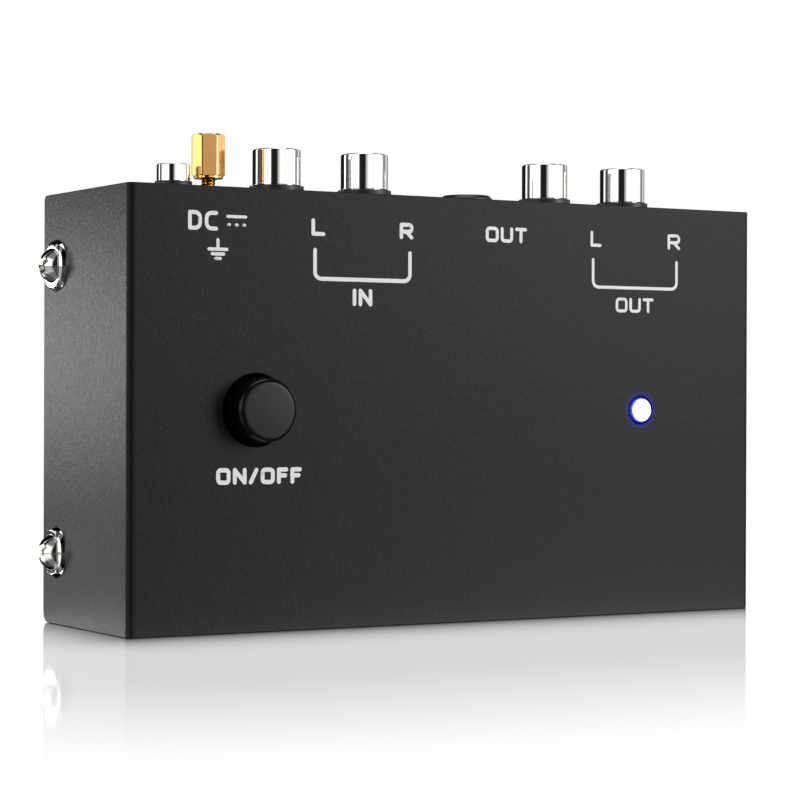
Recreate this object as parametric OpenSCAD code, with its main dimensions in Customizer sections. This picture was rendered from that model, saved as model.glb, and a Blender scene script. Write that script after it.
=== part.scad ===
// Small phono preamplifier in a folded sheet steel case, with its circuit board,
// jacks, push button, light and ground terminal. It stands on a long narrow side:
// X runs right along the labelled face, Y away from that face and Z up.
// The origin is the centre of the standing face.

/* [Case] */
// Width of the case along the labelled face
body_w = 125; // [122:1:150]
// Height from the standing face to the outside of the connector panel
body_h = 73; // [70:1:90]
// Depth from the labelled face to the outside of the back plate
body_d = 35; // [33:0.5:42]
// Thickness of the sheet steel of both case halves
sheet_t = 1; // [0.8:0.1:1.2]
// Inside radius of the folds
fold_inner_r = 0.3; // [0.2:0.1:0.6]
// Gap between the cover and the chassis inside it
case_gap = 0.15; // [0.1:0.05:0.3]
// Rounding of the side flaps at their lower back corner
flap_low_r = 1.8; // [1:0.1:3]
// Rounding of the side flaps at their upper back corner
flap_top_r = 1; // [0.5:0.1:3]

/* [Case screws] */
// Thread diameter of the case and board screws
screw_d = 3; // [2.5:0.1:3.5]
// Radial room between a thread and the metal that it screws into
thread_gap = 0.03; // [0.02:0.01:0.05]
// Radial room of a screw in a clearance hole
screw_room = 0.2; // [0.1:0.05:0.4]
// Distance of the case screws from the standing face and from the panel
case_screw_inset = 12.2; // [10:0.1:14]
// Distance of the case screws from the outside of the back plate
case_screw_depth = 5.4; // [5.3:0.1:7]
// Length of a case screw under its washer
case_screw_l = 5.3; // [4:0.1:5.6]
// Diameter of a case screw's head
case_head_d = 6; // [5:0.1:7]
// Height of a case screw's head
case_head_h = 2.1; // [1.6:0.1:2.6]
// Diameter of the washers under the case screws
washer_d = 8.9; // [7.5:0.1:9.5]
// Thickness of those washers
washer_t = 0.9; // [0.4:0.1:1]
// Length of the chassis tabs that the case screws enter, from the back
tab_l = 11; // [10:0.5:14]
// Width of those tabs along the case
tab_w = 14; // [10:0.5:18]
// Diameter of the rubber feet on the back plate
foot_d = 8; // [6:0.5:9]
// Thickness of the rubber feet
foot_h = 2; // [1:0.5:3]
// Distance of the feet from the ends and long edges of the back plate
foot_inset = 7; // [5.5:0.5:8]

/* [Circuit board] */
// Thickness of the board
board_t = 1.6; // [1:0.1:2]
// Height of the board's lower edge above the standing face
board_low = 11; // [8:0.5:12]
// Gap between the board's upper edge and the inside of the panel
board_edge_gap = 1; // [0.6:0.1:1.5]
// Gap between the board's ends and the chassis tabs
board_side_gap = 3.85; // [3.5:0.05:5]
// Length of the standoffs between the back plate and the board
standoff_l = 6; // [5:0.5:7]
// Width of the standoffs across their flats
standoff_af = 5; // [4.8:0.1:6]
// Distance of the board screws from the board's ends and lower edge
board_hole_inset = 4.5; // [4:0.1:5]
// Distance of the upper board screws below the board's upper edge
board_hole_drop = 15.5; // [15:0.5:17]
// Diameter of a board screw's head
board_head_d = 5.5; // [4.5:0.1:6]
// Height of a board screw's head
board_head_h = 1.8; // [1.2:0.1:2.2]
// Length of a pin or lead past the back of the board
lead_tip = 0.8; // [0.5:0.1:1.2]
// Radial room of a lead in its hole in the board
lead_room = 0.1; // [0.05:0.05:0.2]

/* [Connector row] */
// Depth of the connectors' axes behind the labelled face
conn_depth = 14.6; // [13.5:0.1:16]
// Radial room of a connector's collar in its panel hole
collar_room = 0.15; // [0.1:0.05:0.25]
// Height of the black collars above the panel
collar_h = 1.7; // [1:0.1:2.2]
// Room between pressed-together parts of a connector
press_room = 0.03; // [0.02:0.01:0.05]
// Left input jack, from the middle of the case: left is negative
input_x = -28.3; // [-29.5:0.1:-26.5]
// Left output jack, from the middle of the case
output_x = 26.8; // [26:0.1:29.5]
// Distance between the two jacks of a pair
rca_pitch = 17.3; // [14:0.1:19]
// Stereo jack, from the middle of the case
stereo_x = 10; // [9:0.1:11.5]
// Power socket, from the middle of the case
power_x = -47.8; // [-49.5:0.1:-47]

/* [Phono jacks] */
// Outside diameter of a jack's metal barrel
rca_barrel_d = 8.3; // [8:0.05:8.6]
// Wall of that barrel
rca_barrel_wall = 0.65; // [0.5:0.05:0.8]
// Height of the barrel above the panel
rca_proud = 8; // [6:0.1:10]
// Narrowing of the barrel's radius inside the body
rca_root_step = 0.2; // [0.2:0.01:0.3]
// Bevel on the barrel's rim
rca_rim = 0.35; // [0.1:0.05:0.5]
// Diameter of the black collar around a barrel
rca_collar_d = 9.4; // [9.2:0.1:10.4]
// Width of a jack's plastic block
rca_block_w = 10; // [9.5:0.1:10.5]
// Length of a jack's plastic block behind the panel
rca_block_l = 10.5; // [9:0.1:11]
// Depth of the block from the axis towards the labelled face
rca_block_front = 5.5; // [5:0.1:6]
// Diameter of the hole for the plug's pin
rca_pin_bore_d = 3.3; // [3.25:0.01:3.4]
// Radial room of the plug's pin in the centre contact
rca_contact_room = 0.2; // [0.18:0.01:0.25]
// Wall of the centre contact's sleeve
rca_contact_wall = 0.3; // [0.25:0.05:0.4]
// Recess of the insulator below the barrel's rim
rca_recess = 0.5; // [0.2:0.1:1]

/* [Stereo jack] */
// Diameter of the black nose
stereo_nose_d = 9.4; // [9:0.1:10.5]
// Bevel on the nose
stereo_bevel = 0.6; // [0.2:0.1:0.9]
// Diameter of the hole for the plug
stereo_bore_d = 6.5; // [6.4:0.05:6.6]
// Diameter of the cavity behind the nose
stereo_cavity_d = 7.2; // [6.8:0.1:7.6]
// Width of the plastic block
stereo_block_w = 16; // [15.5:0.5:17]
// Length of the block behind the panel
stereo_block_l = 25; // [24:0.5:27]
// Depth of the block from the axis towards the labelled face
stereo_block_front = 6.5; // [5.5:0.1:7.5]

/* [Power socket] */
// Outside diameter of the metal barrel
power_barrel_d = 5.6; // [5.2:0.1:5.8]
// Height of the barrel above the panel
power_proud = 4.6; // [3.5:0.1:6]
// Diameter of the hole for the plug
power_bore_d = 3.6; // [3.55:0.01:3.65]
// Diameter of the black collar around the barrel
power_collar_d = 6.3; // [6.2:0.1:6.8]
// Width of the plastic block
power_block_w = 7; // [6.8:0.1:7.6]
// Length of the block behind the panel
power_block_l = 12; // [11.5:0.1:13]

/* [Ground terminal] */
// Thread diameter of the ground screw
ground_screw_d = 2.5; // [2:0.1:3]
// Pitch of that thread, which sets the nut's rise for each turn
ground_pitch = 0.45; // [0.35:0.05:0.5]
// Turns that the nut can make each way
ground_turns = 5; // [3:1:5]
// Gap left under the washer when the nut is screwed right down
ground_seat_gap = 0.15; // [0.1:0.05:0.3]
// Angle that the nut rests at, about the screw
ground_nut_angle = -22; // [-30:1:30]
// Width of the hexagonal nut across its flats
ground_nut_af = 5; // [4.6:0.1:6]
// Height of the nut
ground_nut_h = 7; // [6.5:0.1:8]
// Bevel on the nut's corners
ground_nut_bevel = 0.4; // [0.2:0.1:0.6]
// Thickness of the captive washer under the nut
ground_washer_t = 0.5; // [0.3:0.1:0.8]
// Thickness of the solder lug inside the panel
lug_t = 0.6; // [0.4:0.1:0.8]
// Diameter of the lug's ring
lug_d = 4.8; // [4.4:0.1:5.2]
// Gap between the lug and the power socket's block
lug_gap = 0.6; // [0.4:0.1:1.5]
// Diameter of the ground wire
wire_d = 1.2; // [0.8:0.1:1.6]

/* [Power button] */
// Button axis, from the middle of the case
button_x = -39.6; // [-40.5:0.1:-38]
// Height of the button's axis above the standing face
button_z = 36.5; // [35:0.1:38]
// Diameter of the button's cap
button_d = 10.7; // [9:0.1:11.5]
// Radial room of the cap in its hole
button_room = 0.7; // [0.3:0.05:0.8]
// Height of the cap above the labelled face
button_proud = 4.8; // [3.4:0.1:5]
// Travel of the button
button_travel = 3; // [1.5:0.1:3.2]
// Length of the cap
button_l = 13.3; // [11.5:0.1:13.5]
// Bevel on the cap's front edge
button_bevel = 0.7; // [0.1:0.05:0.8]
// Width of the switch's square stem
stem_w = 3.4; // [2.8:0.1:3.6]
// Width of the switch's square body
switch_w = 8.5; // [8:0.1:9]
// Thickness of the switch spring's wire
spring_wire_d = 0.5; // [0.3:0.05:0.55]

/* [Light] */
// Light's axis, from the middle of the case
led_x = 37.9; // [35.5:0.1:40.5]
// Height of the light's axis above the standing face
led_z = 36.5; // [33:0.1:40]
// Diameter of the lens
led_d = 5; // [3:0.1:5.5]
// Radial room of the lens in its hole
led_room = 0.1; // [0.05:0.05:0.3]
// Height of the lens above the labelled face
led_proud = 1.4; // [0.5:0.1:2.2]
// Length of the lens
led_l = 8.6; // [6:0.1:9]

/* [Hidden] */
$fn = 64;
eps = 0.01;

// Faces of the case
left_x = -body_w / 2;
face_y = -body_d / 2;
face_in = face_y + sheet_t;
back_y = body_d / 2;
plate_in = back_y - sheet_t;
panel_in = body_h - sheet_t;
fold_r = fold_inner_r + sheet_t;
chassis_w = body_w - 2 * (sheet_t + case_gap);
screw_y = back_y - case_screw_depth;
screw_zs = [case_screw_inset, body_h - case_screw_inset];
foot_zs = [foot_inset, body_h - foot_inset];
foot_x = chassis_w / 2 - foot_inset - sheet_t - case_gap;

// Circuit board
board_back = plate_in - standoff_l;
board_face = board_back - board_t;
board_top = panel_in - board_edge_gap;
board_w = chassis_w - 2 * (sheet_t + board_side_gap);
board_hole_x = board_w / 2 - board_hole_inset;
board_hole_zs = [board_low + board_hole_inset, board_top - board_hole_drop];
spigot_r = 2.1;
spigot_sink = 0.1;

// Connector row: a jack's own frame has its axis on Z and the panel's inside at zero
conn_y = face_y + conn_depth;
reach = board_face - conn_y;
tail_reach = reach + board_t + lead_tip;
ground_x = power_x + power_block_w / 2 + lug_gap + lug_d / 2;
rca_xs = [input_x, input_x + rca_pitch, output_x, output_x + rca_pitch];
collar_top = sheet_t + collar_h;

// Phono jack
rca_top = sheet_t + rca_proud;
rca_low = 0.7 - rca_block_l;
rca_floor = rca_low + 0.8;
rca_r = rca_barrel_d / 2;
rca_inner_r = rca_r - rca_barrel_wall;
rca_root_r = rca_r - rca_root_step;
rca_neck = 0.1;
rca_pin_r = rca_pin_bore_d / 2;
rca_sleeve_r = rca_pin_r + rca_contact_room;
rca_contact_r = rca_sleeve_r + rca_contact_wall;
tail_t = 0.6;
tail_w = 1;
rca_tail_x = rca_contact_r + tail_w / 2 - 0.05;
tail_room = 0.2;

// Stereo jack springs
leaf_x = 6;
leaf_t = 0.3;
leaf_w = 2.6;
leaf_room = 0.2;
leaf_bump_x = 3.3;
stereo_floor = 1.5;
leaf_slot_top = -3;
leaf_gap = 2;
leaf_end_gap = 0.3;
tip_leaf_l = 8;
ring_leaf_l = 7;
sleeve_leaf_l = 5.2;
tip_leaf_z = stereo_floor - stereo_block_l + leaf_gap;
sleeve_leaf_z = leaf_slot_top - leaf_end_gap - sleeve_leaf_l;
ring_leaf_z = sleeve_leaf_z - leaf_gap - ring_leaf_l;

// Power socket
power_low = -6;
power_r = power_barrel_d / 2;
power_step_r = power_bore_d / 2 + 0.3;
power_wall = 1;
power_front = power_block_w / 2;
power_rear_r = power_front - power_wall;
power_finger_l = 3;
power_finger_t = 0.3;
power_finger_y = -1.5;

// Ground terminal, measured from the panel's inside
ground_travel = ground_pitch * ground_turns;
ground_washer_z = sheet_t + ground_seat_gap + ground_travel;
ground_nut_z = ground_washer_z + ground_washer_t;
ground_cap_t = 1;
ground_r = ground_screw_d / 2;
ground_bore_l = ground_nut_h - ground_cap_t;
ground_top = ground_nut_z + ground_bore_l - ground_travel - 0.25;
ground_head_h = 1.4;
ground_head_d = lug_d - 0.4;
lug_tail_w = 2.4;
wire_y = lug_d / 2 + 3.8;
wire_drop = 4;
wire_bend_r = 2.5;

// Power button and switch
button_front = face_y - button_proud;
button_rear = button_front + button_l;
button_r = button_d / 2;
button_skirt_t = 1;
button_skirt_gap = 0.7;
button_skirt_r = button_r + button_room + 0.8;
socket_room = 0.05;
socket_l = button_l - 2.5;
spring_turns = 3;
spring_r = 3.2;
spring_seat = 0.2;
spring_solid = (spring_turns + 1) * spring_wire_d + 0.5;
switch_front = button_rear + button_travel + spring_solid;
switch_wall = 1;
stem_room = 0.1;
foot_w = stem_w + 1;
stem_foot_l = 2;
switch_pin_r = 0.35;
switch_pin_pitch = 2.5;
switch_pin_row = 5;

// Light
led_tip = face_y - led_proud;
led_base = led_tip + led_l;
led_r = led_d / 2;
led_rim_r = led_r + 0.4;
led_rim_t = 1;
led_lead_r = 0.25;
led_lead_pitch = 2.54;

// Rows of small parts, spread over the board between its lower edge and the jacks
row_inset = 9;
row_drop = 20;
row_low = board_low + row_inset;
row_high = panel_in - row_drop;
row_step = (row_high - row_low) / 8;
op_amp_row_z = row_low + 3 * row_step;
resistor_row_z = row_low + 4 * row_step;
film_row_z = row_low + 6 * row_step;

// Small parts: places are [from the middle of the case, height], and a capacitor's
// radius and height follow
lead_r = 0.3;
small_lead_l = 1;
small_cap_r = 2.5;
small_cap_h = 11;
capacitors = [[-26.5, row_low, 5, 12.5], [-13.5, row_low, 5, 12.5], [-0.5, row_low, 4, 11.5],
    for (x = [-26.5, -17.5, -8.5, 25.5, 33.5, 41.5]) [x, row_high, small_cap_r, small_cap_h]];
cap_pitch = 2.5;
film_places = [[-22.5, film_row_z], [-10.5, film_row_z], [35.5, row_low], [44.5, row_low + row_step]];
film_size = [7.2, 6.5, 2.5];
film_pitch = 5;
disc_places = [[-2.5, film_row_z], [-2.5, row_high], [23.5, film_row_z], [45.5, film_row_z]];
disc_d = 5;
disc_t = 2.2;
disc_pitch = 2.5;
resistor_d = 2.3;
resistor_l = 6.3;
resistor_pitch = 10;
resistor_gap = 4;
high_resistor_x = 3.5;
low_resistor_x = 9.5;
resistor_places = [for (i = [0:4]) each [[high_resistor_x + i * resistor_gap, resistor_row_z],
    [low_resistor_x + i * resistor_gap, row_low]]];
diode_d = 2.7;
diode_l = 5.2;
diode_place = [-41.5, button_z + switch_w / 2 + resistor_pitch / 2 + diode_d + 1.5];
op_amp_places = [[-14.5, op_amp_row_z], [30, op_amp_row_z]];
op_amp_size = [9.6, 3.4, 6.4];
op_amp_pitch = 2.54;
op_amp_row = 7.62;
op_amp_lift = 0.5;
regulator_place = [-34.5, row_high];
regulator_r = 2.4;
regulator_h = 4.6;
regulator_pitch = 1.27;

// Holes through the board: [x, z, radius]
pair = [-1, 1];
board_holes = concat(
    [for (s = pair, z = board_hole_zs) [s * board_hole_x, z, screw_d / 2 + screw_room]],
    [for (x = rca_xs) [x, panel_in + rca_low + tail_t / 2, hole_r(tail_w, tail_t)]],
    [for (x = rca_xs) [x + rca_tail_x, panel_in + rca_low + tail_t / 2, hole_r(tail_w, tail_t)]],
    [for (l = [[-1, tip_leaf_z], [1, ring_leaf_z], [1, sleeve_leaf_z]])
        [stereo_x + l[0] * (leaf_x + leaf_t / 2), panel_in + l[1] + tail_w / 2, hole_r(leaf_t, tail_w)]],
    [for (z = [power_low, power_wall - power_block_l])
        [power_x, panel_in + z + tail_t / 2, hole_r(tail_w, tail_t)]],
    [[ground_x, panel_in - lug_t - wire_drop - wire_bend_r, wire_d / 2 + lead_room]],
    [for (x = pair, i = [-1:1]) [button_x + x * switch_pin_row / 2, button_z + i * switch_pin_pitch,
        switch_pin_r + lead_room]],
    [for (s = pair) [led_x + s * led_lead_pitch / 2, led_z, led_lead_r + lead_room]],
    [for (c = capacitors, s = pair) lead_hole(c[0] + s * cap_pitch / 2, c[1])],
    [for (c = film_places, s = pair) lead_hole(c[0] + s * film_pitch / 2, c[1])],
    [for (c = disc_places, s = pair) lead_hole(c[0], c[1] + s * disc_pitch / 2)],
    [for (c = resistor_places, s = pair) lead_hole(c[0], c[1] + s * resistor_pitch / 2)],
    [for (s = pair) lead_hole(diode_place[0], diode_place[1] + s * resistor_pitch / 2)],
    [for (c = op_amp_places, s = pair, i = [0:3])
        lead_hole(c[0] + (i - 1.5) * op_amp_pitch, c[1] + s * op_amp_row / 2)],
    [for (i = [-1:1]) lead_hole(regulator_place[0] + i * regulator_pitch * 1.5, regulator_place[1])]);

// Radius of the round hole that a flat tail passes through
function hole_r(w, t) = sqrt(w * w + t * t) / 2 + lead_room;
// Board hole for a small part's lead
function lead_hole(x, z) = [x, z, lead_r + lead_room];

// ---------- shared shapes ----------

// A folded sheet's edge view: outer corner at the origin, legs along +X and +Y
module fold_2d(leg_x, leg_y) {
    translate([fold_r, 0]) square([leg_x - fold_r, sheet_t]);
    translate([0, fold_r]) square([sheet_t, leg_y - fold_r]);
    intersection() {
        square(fold_r);
        translate([fold_r, fold_r]) difference() {
            circle(fold_r);
            circle(fold_inner_r);
        }
    }
}

// Extrudes a shape drawn in the YZ plane along X, centred
module along_x(length) {
    translate([-length / 2, 0, 0]) rotate([90, 0, 90]) linear_extrude(length) children();
}

// Cylinder that runs from y0 to y1
module rod_y(x, z, r, y0, y1) {
    translate([x, y0, z]) rotate([-90, 0, 0]) cylinder(r = r, h = y1 - y0);
}

// Places a jack on the connector panel
module on_panel(x) {
    translate([x, conn_y, panel_in]) children();
}

// Hollow round part from a profile: [radius, height] points
module turned(points) {
    rotate_extrude() polygon(points);
}

// Pan head screw: the head below zero, the shank along +Z
module pan_screw(d, l, head_d, head_h) {
    rise = head_h * 0.6;
    dome_r = (head_d * head_d / 4 + rise * rise) / (2 * rise);
    slot_w = head_d * 0.17;
    slot_l = head_d * 0.6;
    difference() {
        union() {
            translate([0, 0, -eps]) cylinder(d = d, h = l + eps);
            mirror([0, 0, 1]) rotate_extrude() intersection() {
                square([head_d / 2, head_h]);
                translate([0, head_h - dome_r]) circle(dome_r, $fn = 128);
            }
        }
        for (a = [0, 90]) rotate(a)
            translate([-slot_l / 2, -slot_w / 2, -head_h - eps]) cube([slot_l, slot_w, head_h * 0.55]);
    }
}

// ---------- case ----------

module cover() {
    color("#2b2b2b") difference() {
        intersection() {
            linear_extrude(body_h) for (side = [0, 1]) mirror([side, 0])
                translate([left_x, face_y]) fold_2d(body_w / 2, body_d);
            along_x(body_w + 2) flap_outline();
        }
        rod_y(button_x, button_z, button_r + button_room, face_y - 1, face_in + 1);
        rod_y(led_x, led_z, led_r + led_room, face_y - 1, face_in + 1);
        for (z = screw_zs) translate([left_x - 1, screw_y, z]) rotate([0, 90, 0])
            cylinder(r = screw_d / 2 + screw_room, h = body_w + 2);
    }
}

// Side view of the flaps, with the two rounded corners at the back
module flap_outline() {
    difference() {
        translate([face_y, 0]) square([body_d, body_h]);
        translate([back_y - flap_low_r, flap_low_r]) mirror([0, 1]) corner_2d(flap_low_r);
        translate([back_y - flap_top_r, body_h - flap_top_r]) corner_2d(flap_top_r);
    }
}

// What a corner of radius r loses, from the centre of its arc
module corner_2d(r) {
    difference() {
        square(r + 1);
        circle(r);
    }
}

module chassis() {
    leg = body_d - sheet_t - case_gap;
    color("#222222") difference() {
        union() {
            along_x(chassis_w) for (end = [0, 1])
                translate([back_y, end * body_h]) mirror([1, 0]) mirror([0, end]) fold_2d(leg, body_h / 2);
            for (side = [0, 1], z = screw_zs) mirror([side, 0, 0])
                translate([-chassis_w / 2, back_y - tab_l, z - tab_w / 2]) cube([sheet_t, tab_l - eps, tab_w]);
        }
        for (x = rca_xs) panel_hole(x, rca_collar_d / 2 + collar_room);
        panel_hole(stereo_x, stereo_nose_d / 2 + collar_room);
        panel_hole(power_x, power_collar_d / 2 + collar_room);
        panel_hole(ground_x, ground_r + thread_gap);
        for (side = pair, z = board_hole_zs)
            rod_y(side * board_hole_x, z, spigot_r + press_room, plate_in - 1, back_y + 1);
        for (side = pair, z = screw_zs) translate([side * chassis_w / 2, screw_y, z]) rotate([0, 90, 0])
            cylinder(r = screw_d / 2 + thread_gap, h = 4 * sheet_t, center = true);
    }
}

module panel_hole(x, r) {
    on_panel(x) translate([0, 0, -1]) cylinder(r = r, h = sheet_t + 2);
}

module cover_screws() {
    color("#d8d8d8") for (side = [0, 1], z = screw_zs) mirror([side, 0, 0])
        translate([left_x - washer_t, screw_y, z]) rotate([0, 90, 0])
            pan_screw(screw_d, washer_t + case_screw_l, case_head_d, case_head_h);
}

module cover_screw_washers() {
    color("#c8c8c8") for (side = [0, 1], z = screw_zs) mirror([side, 0, 0])
        translate([left_x - washer_t, screw_y, z]) rotate([0, 90, 0]) difference() {
            cylinder(d = washer_d, h = washer_t);
            translate([0, 0, -1]) cylinder(r = screw_d / 2 + screw_room, h = washer_t + 2);
        }
}

module rubber_feet() {
    edge = 0.5;
    color("#151515") for (side = pair, z = foot_zs)
        translate([side * foot_x, back_y, z]) rotate([-90, 0, 0])
            turned([[0, 0], [foot_d / 2, 0], [foot_d / 2, foot_h - edge],
                [foot_d / 2 - edge, foot_h], [0, foot_h]]);
}

// ---------- circuit board ----------

module main_board() {
    color("#0f5a2c") difference() {
        translate([-board_w / 2, board_face, board_low]) cube([board_w, board_t, board_top - board_low]);
        for (h = board_holes) rod_y(h[0], h[1], h[2], board_face - 1, board_back + 1);
    }
}

module board_standoffs() {
    color("#c9a24a") for (side = pair, z = board_hole_zs) difference() {
        union() {
            translate([side * board_hole_x, board_back, z]) rotate([-90, 0, 0])
                cylinder(d = standoff_af / cos(30), h = standoff_l, $fn = 6);
            rod_y(side * board_hole_x, z, spigot_r, plate_in - eps, back_y - spigot_sink);
        }
        rod_y(side * board_hole_x, z, screw_d / 2 + thread_gap, board_back - 1, plate_in - eps);
    }
}

module board_screws() {
    color("#d0d0d0") for (side = pair, z = board_hole_zs)
        translate([side * board_hole_x, board_face, z]) rotate([-90, 0, 0])
            pan_screw(screw_d, board_t + standoff_l - 1, board_head_d, board_head_h);
}

// Round lead from a small part through the board
module lead(x, z, y0) {
    rod_y(x, z, lead_r, y0, board_back + lead_tip);
}

module electrolytic_capacitors() {
    groove = 0.4;
    groove_at = 2;
    color("#1d2a55") for (c = capacitors) {
        translate([c[0], board_face, c[1]]) rotate([90, 0, 0])
            turned([[0, 0], [c[2], 0], [c[2], groove_at - groove], [c[2] - groove, groove_at],
                [c[2], groove_at + groove], [c[2], c[3] - groove], [c[2] - groove, c[3]], [0, c[3]]]);
        for (s = pair) lead(c[0] + s * cap_pitch / 2, c[1], board_face - 0.5);
    }
}

module film_capacitors() {
    color("#a33a1e") for (c = film_places) {
        translate([c[0] - film_size[0] / 2, board_face - film_size[1], c[1] - film_size[2] / 2])
            cube(film_size);
        for (s = pair) lead(c[0] + s * film_pitch / 2, c[1], board_face - 0.5);
    }
}

module ceramic_capacitors() {
    color("#c98a3a") for (c = disc_places) {
        translate([c[0], board_face - small_lead_l - disc_d / 2, c[1]]) rotate([0, 90, 0])
            cylinder(d = disc_d, h = disc_t, center = true);
        for (s = pair) lead(c[0], c[1] + s * disc_pitch / 2, board_face - small_lead_l - disc_d / 2);
    }
}

// Part with a lead at each end, lying along Z on the board
module axial_part(place, d, l) {
    x = place[0];
    y = board_face - d / 2;
    span = resistor_pitch;
    translate([x, y, place[1] - l / 2]) cylinder(d = d, h = l);
    translate([x, y, place[1] - span / 2]) cylinder(r = lead_r, h = span);
    for (s = pair) {
        lead(x, place[1] + s * span / 2, y);
        translate([x, y, place[1] + s * span / 2]) sphere(r = lead_r, $fn = 32);
    }
}

module resistors() {
    color("#c8b48a") for (place = resistor_places) axial_part(place, resistor_d, resistor_l);
}

module rectifier_diode() {
    color("#181818") axial_part(diode_place, diode_d, diode_l);
}

module op_amps() {
    leg_w = 0.5;
    color("#161616") for (c = op_amp_places) {
        top = board_face - op_amp_lift - op_amp_size[1];
        mid = top + op_amp_size[1] / 2;
        translate([c[0] - op_amp_size[0] / 2, top, c[1] - op_amp_size[2] / 2]) cube(op_amp_size);
        for (s = pair, i = [0:3]) {
            x = c[0] + (i - 1.5) * op_amp_pitch;
            translate([x - leg_w / 2, mid - leg_w / 2, c[1] + min(0, s * op_amp_row / 2)])
                cube([leg_w, leg_w, op_amp_row / 2]);
            lead(x, c[1] + s * op_amp_row / 2, mid - leg_w / 2);
        }
    }
}

module voltage_regulator() {
    flat = 0.6;
    x = regulator_place[0];
    low_y = board_face - 2 * small_lead_l;
    color("#1c1c1c") {
        translate([x, low_y, regulator_place[1]]) rotate([90, 0, 0]) linear_extrude(regulator_h)
            intersection() {
                circle(regulator_r);
                translate([-regulator_r, -regulator_r]) square([2 * regulator_r, 2 * regulator_r - flat]);
            }
        for (i = [-1:1]) {
            rod_y(x + i * regulator_pitch, regulator_place[1], lead_r, low_y - 0.5, low_y + small_lead_l);
            translate([x + min(i * regulator_pitch, i * regulator_pitch * 1.5) - lead_r,
                low_y + small_lead_l - eps, regulator_place[1] - lead_r])
                cube([abs(i) * regulator_pitch / 2 + 2 * lead_r, 0.5, 2 * lead_r]);
            lead(x + i * regulator_pitch * 1.5, regulator_place[1],
                low_y + small_lead_l + 0.4);
        }
    }
}

// ---------- phono jacks ----------

module rca_body() {
    slot_x = rca_tail_x + tail_w / 2 + tail_room;
    color("#1a1a1a") difference() {
        union() {
            translate([-rca_block_w / 2, -rca_block_front, -rca_block_l])
                cube([rca_block_w, rca_block_front + reach, rca_block_l]);
            cylinder(d = rca_collar_d, h = collar_top);
        }
        translate([0, 0, -rca_block_l - 1])
            cylinder(r = rca_root_r + press_room, h = rca_block_l + collar_top + 2);
        translate([-tail_w / 2 - tail_room, 0, -rca_block_l - 1])
            cube([slot_x + tail_w / 2 + tail_room, reach + 1, rca_floor + rca_block_l + 1 + tail_room]);
    }
}

// Tail that runs from a jack to the board and through it
module tail(x, y0, z) {
    translate([x - tail_w / 2, y0, z]) cube([tail_w, tail_reach - y0, tail_t]);
}

module rca_barrel() {
    color("#e4e4e4") difference() {
        union() {
            turned([[rca_inner_r, rca_low], [rca_root_r, rca_low], [rca_root_r, collar_top + rca_neck],
                [rca_r, collar_top + rca_neck], [rca_r, rca_top - rca_rim], [rca_r - rca_rim, rca_top],
                [rca_inner_r, rca_top]]);
            tail(rca_tail_x, sqrt(pow(rca_inner_r, 2) - pow(rca_tail_x - tail_w / 2, 2)), rca_low);
        }
        translate([0, 0, rca_low - 1]) cylinder(r = rca_inner_r, h = rca_top - rca_low + 2);
        translate([-tail_w / 2 - tail_room, 0, rca_low - 1])
            cube([tail_w + 2 * tail_room, rca_r + 1, tail_t + tail_room + 1]);
    }
}

module rca_insulator(tint) {
    outer_r = rca_inner_r - press_room;
    top = rca_top - rca_recess;
    color(tint) turned([[rca_contact_r + press_room, rca_floor], [outer_r, rca_floor], [outer_r, top],
        [rca_pin_r, top], [rca_pin_r, collar_top], [rca_contact_r + press_room, collar_top]]);
}

module rca_contact() {
    color("#d9b45a") {
        turned([[0, rca_low], [rca_contact_r, rca_low], [rca_contact_r, collar_top - press_room],
            [rca_sleeve_r, collar_top - press_room], [rca_sleeve_r, rca_floor], [0, rca_floor]]);
        tail(0, 0, rca_low);
    }
}

// ---------- stereo jack ----------

module stereo_jack_body() {
    slot_l = stereo_block_l - stereo_floor + leaf_slot_top;
    slot_depth = leaf_w / 2 + leaf_room;
    color("#141414") on_panel(stereo_x) difference() {
        union() {
            translate([-stereo_block_w / 2, -stereo_block_front, -stereo_block_l])
                cube([stereo_block_w, stereo_block_front + reach, stereo_block_l]);
            turned([[0, -eps], [stereo_nose_d / 2, -eps], [stereo_nose_d / 2, collar_top - stereo_bevel],
                [stereo_nose_d / 2 - stereo_bevel, collar_top], [0, collar_top]]);
        }
        cylinder(d = stereo_bore_d, h = collar_top + 1);
        translate([0, 0, stereo_floor - stereo_block_l])
            cylinder(d = stereo_cavity_d, h = stereo_block_l - stereo_floor + sheet_t);
        for (side = [0, 1]) mirror([side, 0, 0]) translate([0, -slot_depth, stereo_floor - stereo_block_l]) {
            cube([leaf_x + leaf_t + leaf_room, 2 * slot_depth, slot_l]);
            translate([leaf_x - leaf_room, 0, 0])
                cube([leaf_t + 2 * leaf_room, slot_depth + reach + 1, slot_l]);
        }
    }
}

// Sprung contact in the side slot: its foot at zero, with a tail to the board
module leaf(length) {
    mid = length / 2;
    fold = 0.4;
    color("#c7c9cc") {
        translate([0, leaf_w / 2, 0]) rotate([90, 0, 0]) linear_extrude(leaf_w) polygon([
            [leaf_x, 0], [leaf_x + leaf_t, 0], [leaf_x + leaf_t, length], [leaf_x - fold, length],
            [leaf_bump_x, mid], [leaf_x - 2 * fold, 2 * fold], [leaf_x - 2 * fold + leaf_t, 2 * fold],
            [leaf_bump_x + leaf_t * 1.3, mid], [leaf_x - fold + leaf_t / 2, length - leaf_t],
            [leaf_x, length - leaf_t]]);
        translate([leaf_x, leaf_w / 2 - eps, 0]) cube([leaf_t, tail_reach - leaf_w / 2, tail_w]);
    }
}

module stereo_tip_spring() {
    on_panel(stereo_x) translate([0, 0, tip_leaf_z]) mirror([1, 0, 0]) leaf(tip_leaf_l);
}

module stereo_ring_spring() {
    on_panel(stereo_x) translate([0, 0, ring_leaf_z]) leaf(ring_leaf_l);
}

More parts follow.
